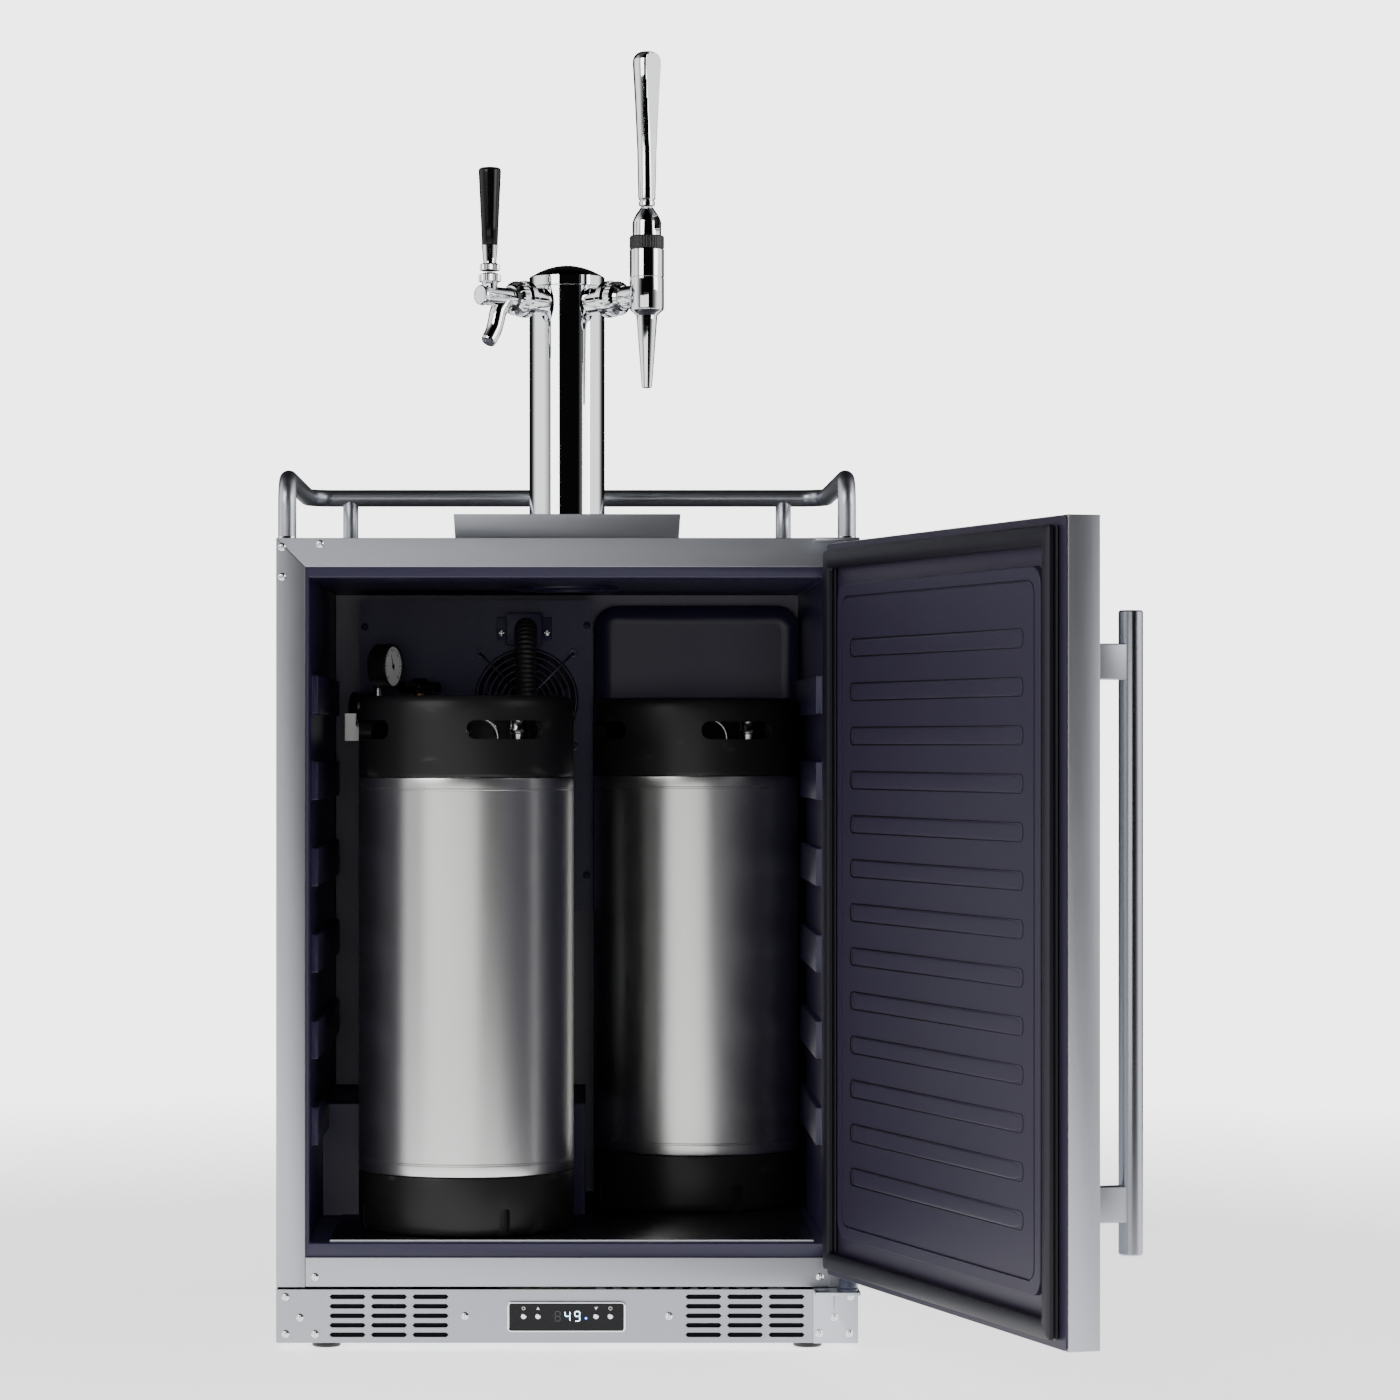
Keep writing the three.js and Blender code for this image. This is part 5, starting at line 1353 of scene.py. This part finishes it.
class KEGERATOR_OT_fan(KegeratorOperator):
    """The fan's blades, its motor and its wire guard"""

    bl_idname = "kegerator.fan"
    bl_label = "Evaporator fan"

    def build(self):
        low, high = span("fan_blades")
        x, z = middle("fan_motor")[0], middle("fan_motor")[2]
        y0, y1 = low[1], high[1]
        hub = [(0, 0), (17.4, 0), (19, 1.4), (19, y1 - y0 - 0.6), (18, y1 - y0), (0, y1 - y0)]
        parts = [turned(hub).aimed((x, y0, z), (0, 1, 0))]
        blade = self.blade((y1 - y0) / 2)
        for k in range(7):
            parts.append(self.about_y(blade, k * 360 / 7).moved(x, (y0 + y1) / 2, z))
        make("fan_rotor", parts, "fan_plastic", "fan", ("fan_blades",), sharp=40)
        low, high = span("fan_motor")
        length = high[1] - low[1]
        can = [(0, 0), (24.6, 0), (26, 1.4), (26, length - 2), (25, length), (0, length)]
        make("fan_motor_can", [turned(can).aimed((x, low[1], z), (0, 1, 0))], "black_plastic", "cabinet",
             ("fan_motor",))
        self.guard(x, z)

    def about_y(self, shape, degrees):
        a = math.radians(degrees)
        turn = np.array([[math.cos(a), 0, -math.sin(a)], [0, 1, 0], [math.sin(a), 0, math.cos(a)]])
        return Shape(shape.points @ turn, shape.faces)

    def blade(self, half_depth):
        """A thin oval carried outwards: its chord leans by a pitch that eases towards the tip, and the
        whole blade sweeps back with the square of its reach."""
        s = np.linspace(0, 1, 12)[:, None]
        a = np.linspace(0, 2 * math.pi, 20, endpoint=False)[None, :]
        pitch = np.radians(42 - 16 * s)
        chord, thick = 9.5 + 6.5 * s, 0.9 - 0.3 * s
        along, across = chord * np.cos(a), thick * np.sin(a) + 1.2 * np.cos(a) ** 2
        px = along * np.cos(pitch) - across * np.sin(pitch) + 9 * s**2
        py = np.clip(along * np.sin(pitch) + across * np.cos(pitch), -half_depth, half_depth)
        pz = 16 + 38 * s + 0 * a
        grid = np.stack([px, py, pz], -1)
        ends = grid.mean(axis=1, keepdims=True) + 0 * grid
        return skin(np.concatenate([ends[:1], grid, ends[-1:]]))

    def guard(self, x, z):
        y = COVER_FRONT - 2.1
        wire = 1.15
        parts = [hoop(56 - 7 * k, wire).aimed((x, y, z), (0, 1, 0)) for k in range(sizes().guard_rings)]
        disc = [(0, -1), (13.4, -1), (14, -0.4), (14, 0.4), (13.4, 1), (0, 1)]
        parts.append(turned(disc, 60).aimed((x, y, z), (0, 1, 0)))
        reach = 52.5
        for sx, sz in ((1, 1), (-1, 1), (-1, -1), (1, -1)):
            start = (x + sx * 9, y - wire, z + sz * 9)
            end = (x + sx * reach, y - wire, z + sz * reach)
            parts.append(rod(start, end, wire, 12))
            parts.append(hoop(3.6, wire, 28, 8).aimed((end[0], y, end[2]), (0, 1, 0)))
        make("fan_guard_wires", parts, "wire", "cabinet", ("fan_guard",), sharp=50)


class KEGERATOR_OT_underside(KegeratorOperator):
    """The compressor, levelling feet and rear rollers"""

    bl_idname = "kegerator.underside"
    bl_label = "Compressor and feet"

    def build(self):
        x, y = middle("compressor")[:2]
        pot = [(0, 24), (46, 24), (62, 30), (69, 40), (71, 50), (71, 95.6), (73.4, 96.4), (74, 98), (74, 102),
               (73.4, 103.6), (71, 104.4), (70, 130), (66, 143), (57, 152.5), (44, 159), (28, 163), (0, 164)]
        plate = prism(rounded(176, 10, 2, 0, 21), -52, 52, 1)
        cap = turned([(0, 158), (5, 158), (5, 162), (0, 163.8)], 24)
        caps = [cap.moved(26 * math.cos(t), 26 * math.sin(t), -1.5) for t in (0.4, 2.5)]
        parts = [part.moved(x, y, 0) for part in (turned(pot, 96), plate, *caps)]
        make("compressor_pot", parts, "enamel", "cabinet", ("compressor",), sharp=35)
        for side in ("left", "right"):
            node = "foot_" + side
            low, high = span(node)
            cx, cy = middle(node)[:2]
            b = low[2]
            foot = [(0, b), (13.6, b), (15, b + 1.2), (15, b + 3.2), (13.4, b + 4.6), (11, b + 5.8),
                    (4, b + 5.8), (4, high[2]), (0, high[2])]
            make(node + "_pad", [turned(foot, 60).moved(cx, cy, 0)], "black_plastic",
                 "levelling_foot_" + side, (node,))
        low, high = span("rear_roller")
        cy, cz = middle("rear_roller")[1:]
        wheel = [(0, -10), (12.6, -10), (14, -8.6), (14, 8.6), (12.6, 10), (6, 10), (5, 9), (0, 9)]
        parts = [turned(wheel, 60).aimed((cx, cy, cz), (1, 0, 0)) for cx in (-230, 230)]
        parts.append(rod((low[0], cy, cz), (high[0], cy, cz), 2.9, 24))
        make("roller_wheels", parts, "black_plastic", "roller", ("rear_roller",))


class KEGERATOR_OT_door(KegeratorOperator):
    """The inner door, its ribs, its bellows seal and the bar handle"""

    bl_idname = "kegerator.door"
    bl_label = "Door"

    def build(self):
        mid, half = (DOOR_LOW + DOOR_HIGH) / 2, (DOOR_HIGH - DOOR_LOW) / 2
        self.liner(mid, half)
        self.ribs(mid)
        self.gasket(mid, half)
        self.handle()
        bush = [(0, 57.2), (10.4, 57.2), (10.4, 60), (9.2, 61), (9.2, 69), (8.2, 71.6), (0, 71.6)]
        make("hinge_bush", [turned(bush, 48).moved(HINGE_X, HINGE_Y, 0)], "blue_plastic", "cabinet",
             sharp=35)

    def liner(self, mid, half):
        """One sheet from its edge inwards: flat flange, a step up, a narrow groove and the flat field,
        closed by the same outline at the back."""
        b = -313.7
        # inset from the door's edge, height over the back of the sheet, corner radius
        rows = [(1, 0, 4), (1, 2, 4), (42, 2, 22), (43.6, 2.4, 20), (44.2, 7.4, 19), (45, 8, 18), (56, 8, 15),
                (56.3, 5.6, 14), (58, 5.6, 12), (58.3, 8, 11), (240, 8, 1), (240, 0, 1), (1, 0, 4)]
        section = [(inset, b + rise) for inset, rise, _ in rows]
        corners = [radius for _, _, radius in rows]
        sheet = framed(section, DOOR_HALF, half, corners, 0, mid, 10, False)
        field = prism(rounded(2 * (DOOR_HALF - 239.6), 2 * (half - 239.6), 1, 0, mid), b, b + 8)
        make("door_inner_panel", [on_door(sheet), on_door(field)], "door_liner", "door",
             ("door_liner",), sharp=28)

    def ribs(self, mid):
        """Each rib is a half oval carried across the door, and a thin near-black tube round it is painted
        shade for the groove round the rib. Both are strongest at the hinge side and fade towards the handle
        side."""
        count, pitch = sizes().ribs, sizes().rib_pitch / MM
        s = np.linspace(0, 1, 44)[:, None]
        start, length = 214.5, 429.0
        end = np.sqrt(np.clip(1 - (1 - np.clip(s * length / 8, 0, 1)) ** 2, 0, 1))
        fade = np.clip((1 - s) / 0.3, 0, 1) ** 0.5
        a = np.linspace(0, math.pi, 12)[None, :]
        wide = 8.0 * end * (0.4 + 0.6 * np.clip((1 - s) * 20, 0, 1))
        px = start - length * s + 0 * a
        y = -305.9 + 1.3 * end * fade * np.sin(a) ** 0.4
        z = wide * np.cos(a)
        under = np.stack([px[:, ::-1], -307.0 + 0 * y, z[:, ::-1]], -1)
        grid = np.concatenate([np.stack([px, y, z], -1), under], 1)
        tips = grid.mean(axis=1, keepdims=True) + 0 * grid
        rib = skin(np.concatenate([tips[:1], grid, tips[-1:]]))
        first = mid - pitch * (count - 1) / 2
        shapes = [on_door(rib.moved(0, 0, first + k * pitch)) for k in range(count)]
        make("door_ribs", shapes, "door_liner", "door", sharp=60)
        # Thin near-black tubes lying on the field round each rib: painted shade standing for the groove round
        # the rib.
        flat = rounded(length + 1.6, 17.6, 6.5, 0, 0, 5)
        loop = np.column_stack([flat[:, 0], np.full(len(flat), -305.5), flat[:, 1]])
        nearness = (flat[:, 0] / length + 0.5).clip(0, 1)
        line = tube(loop, 0.22 + 0.5 * nearness**2, (0, 1, 0), 8, True)
        groove_shades = [on_door(line.moved(0, 0, first + k * pitch)) for k in range(count)]
        make("door_rib_lines", groove_shades, "engraved", "door", sharp=60)

    def gasket(self, mid, half):
        """A folded bellows section carried round the door, its face against the cabinet when shut."""
        b, f = -311.3, FRONT - 0.5
        section = [(2, b), (0.4, b + 2), (2.6, b + 4), (0.4, b + 6.2), (1, f - 1.4), (3.6, f), (15.4, f),
                   (18, f - 1.4), (18.6, b + 6.2), (16.4, b + 4), (18.6, b + 2), (17, b)]
        seal = framed(section, DOOR_HALF - 13, half - 8, 3, 0, mid, 5)
        make("door_seal", [on_door(seal)], "gasket", "door", ("door_gasket",), sharp=40)

    def handle(self):
        low, high = span("door_handle")
        x, y, r = -DOOR_HALF + 55, DOOR_FACE - 55.5, 11.2
        bar = [(0, low[2]), (r - 1.4, low[2]), (r, low[2] + 1.4), (r, high[2] - 1.4), (r - 1.4, high[2]),
               (0, high[2])]
        make("door_handle_bar", [on_door(turned(bar).moved(x, y, 0))], "handle_steel", "door",
             ("door_handle",), sharp=30)
        centre = (low[2] + high[2]) / 2
        post = 247
        outlines = [rounded(16, 33, 1.4, x, centre + away) for away in (-post, post)]
        posts = [on_door(prism(outline, y + 3, DOOR_FACE - 0.3, 0.8)) for outline in outlines]
        make("door_handle_posts", posts, "steel_level", "door", sharp=30)


# ---------------------------------------------------------------- add-on

PIECE_OPERATORS = (
    KEGERATOR_OT_stage, KEGERATOR_OT_hose, KEGERATOR_OT_sheet, KEGERATOR_OT_screws, KEGERATOR_OT_panel,
    KEGERATOR_OT_rail, KEGERATOR_OT_tower, KEGERATOR_OT_beer_tap, KEGERATOR_OT_stout_tap, KEGERATOR_OT_kegs,
    KEGERATOR_OT_gas, KEGERATOR_OT_fan, KEGERATOR_OT_underside, KEGERATOR_OT_door,
)


class KEGERATOR_PT_sidebar(bpy.types.Panel):
    """The kegerator's pieces in the sidebar"""

    bl_label = "Kegerator"
    bl_idname = "KEGERATOR_PT_sidebar"
    bl_space_type = "VIEW_3D"
    bl_region_type = "UI"
    bl_category = "Kegerator"

    def draw(self, context):
        for operator in PIECE_OPERATORS:
            self.layout.operator(operator.bl_idname)


SETTINGS = (
    ("kegerator_finishes", KegeratorFinishes),
    ("kegerator_sizes", KegeratorSizes),
    ("kegerator_stage", KegeratorStage),
)


def register():
    for name, group in SETTINGS:
        bpy.utils.register_class(group)
        setattr(bpy.types.Scene, name, bpy.props.PointerProperty(type=group))
    for operator in PIECE_OPERATORS:
        bpy.utils.register_class(operator)
    bpy.utils.register_class(KEGERATOR_PT_sidebar)


def unregister():
    bpy.utils.unregister_class(KEGERATOR_PT_sidebar)
    for operator in reversed(PIECE_OPERATORS):
        bpy.utils.unregister_class(operator)
    for name, group in reversed(SETTINGS):
        delattr(bpy.types.Scene, name)
        bpy.utils.unregister_class(group)


def main():
    register()
    for operator in PIECE_OPERATORS:
        group, call = operator.bl_idname.split(".")
        getattr(getattr(bpy.ops, group), call)()


if __name__ == "__main__":
    main()
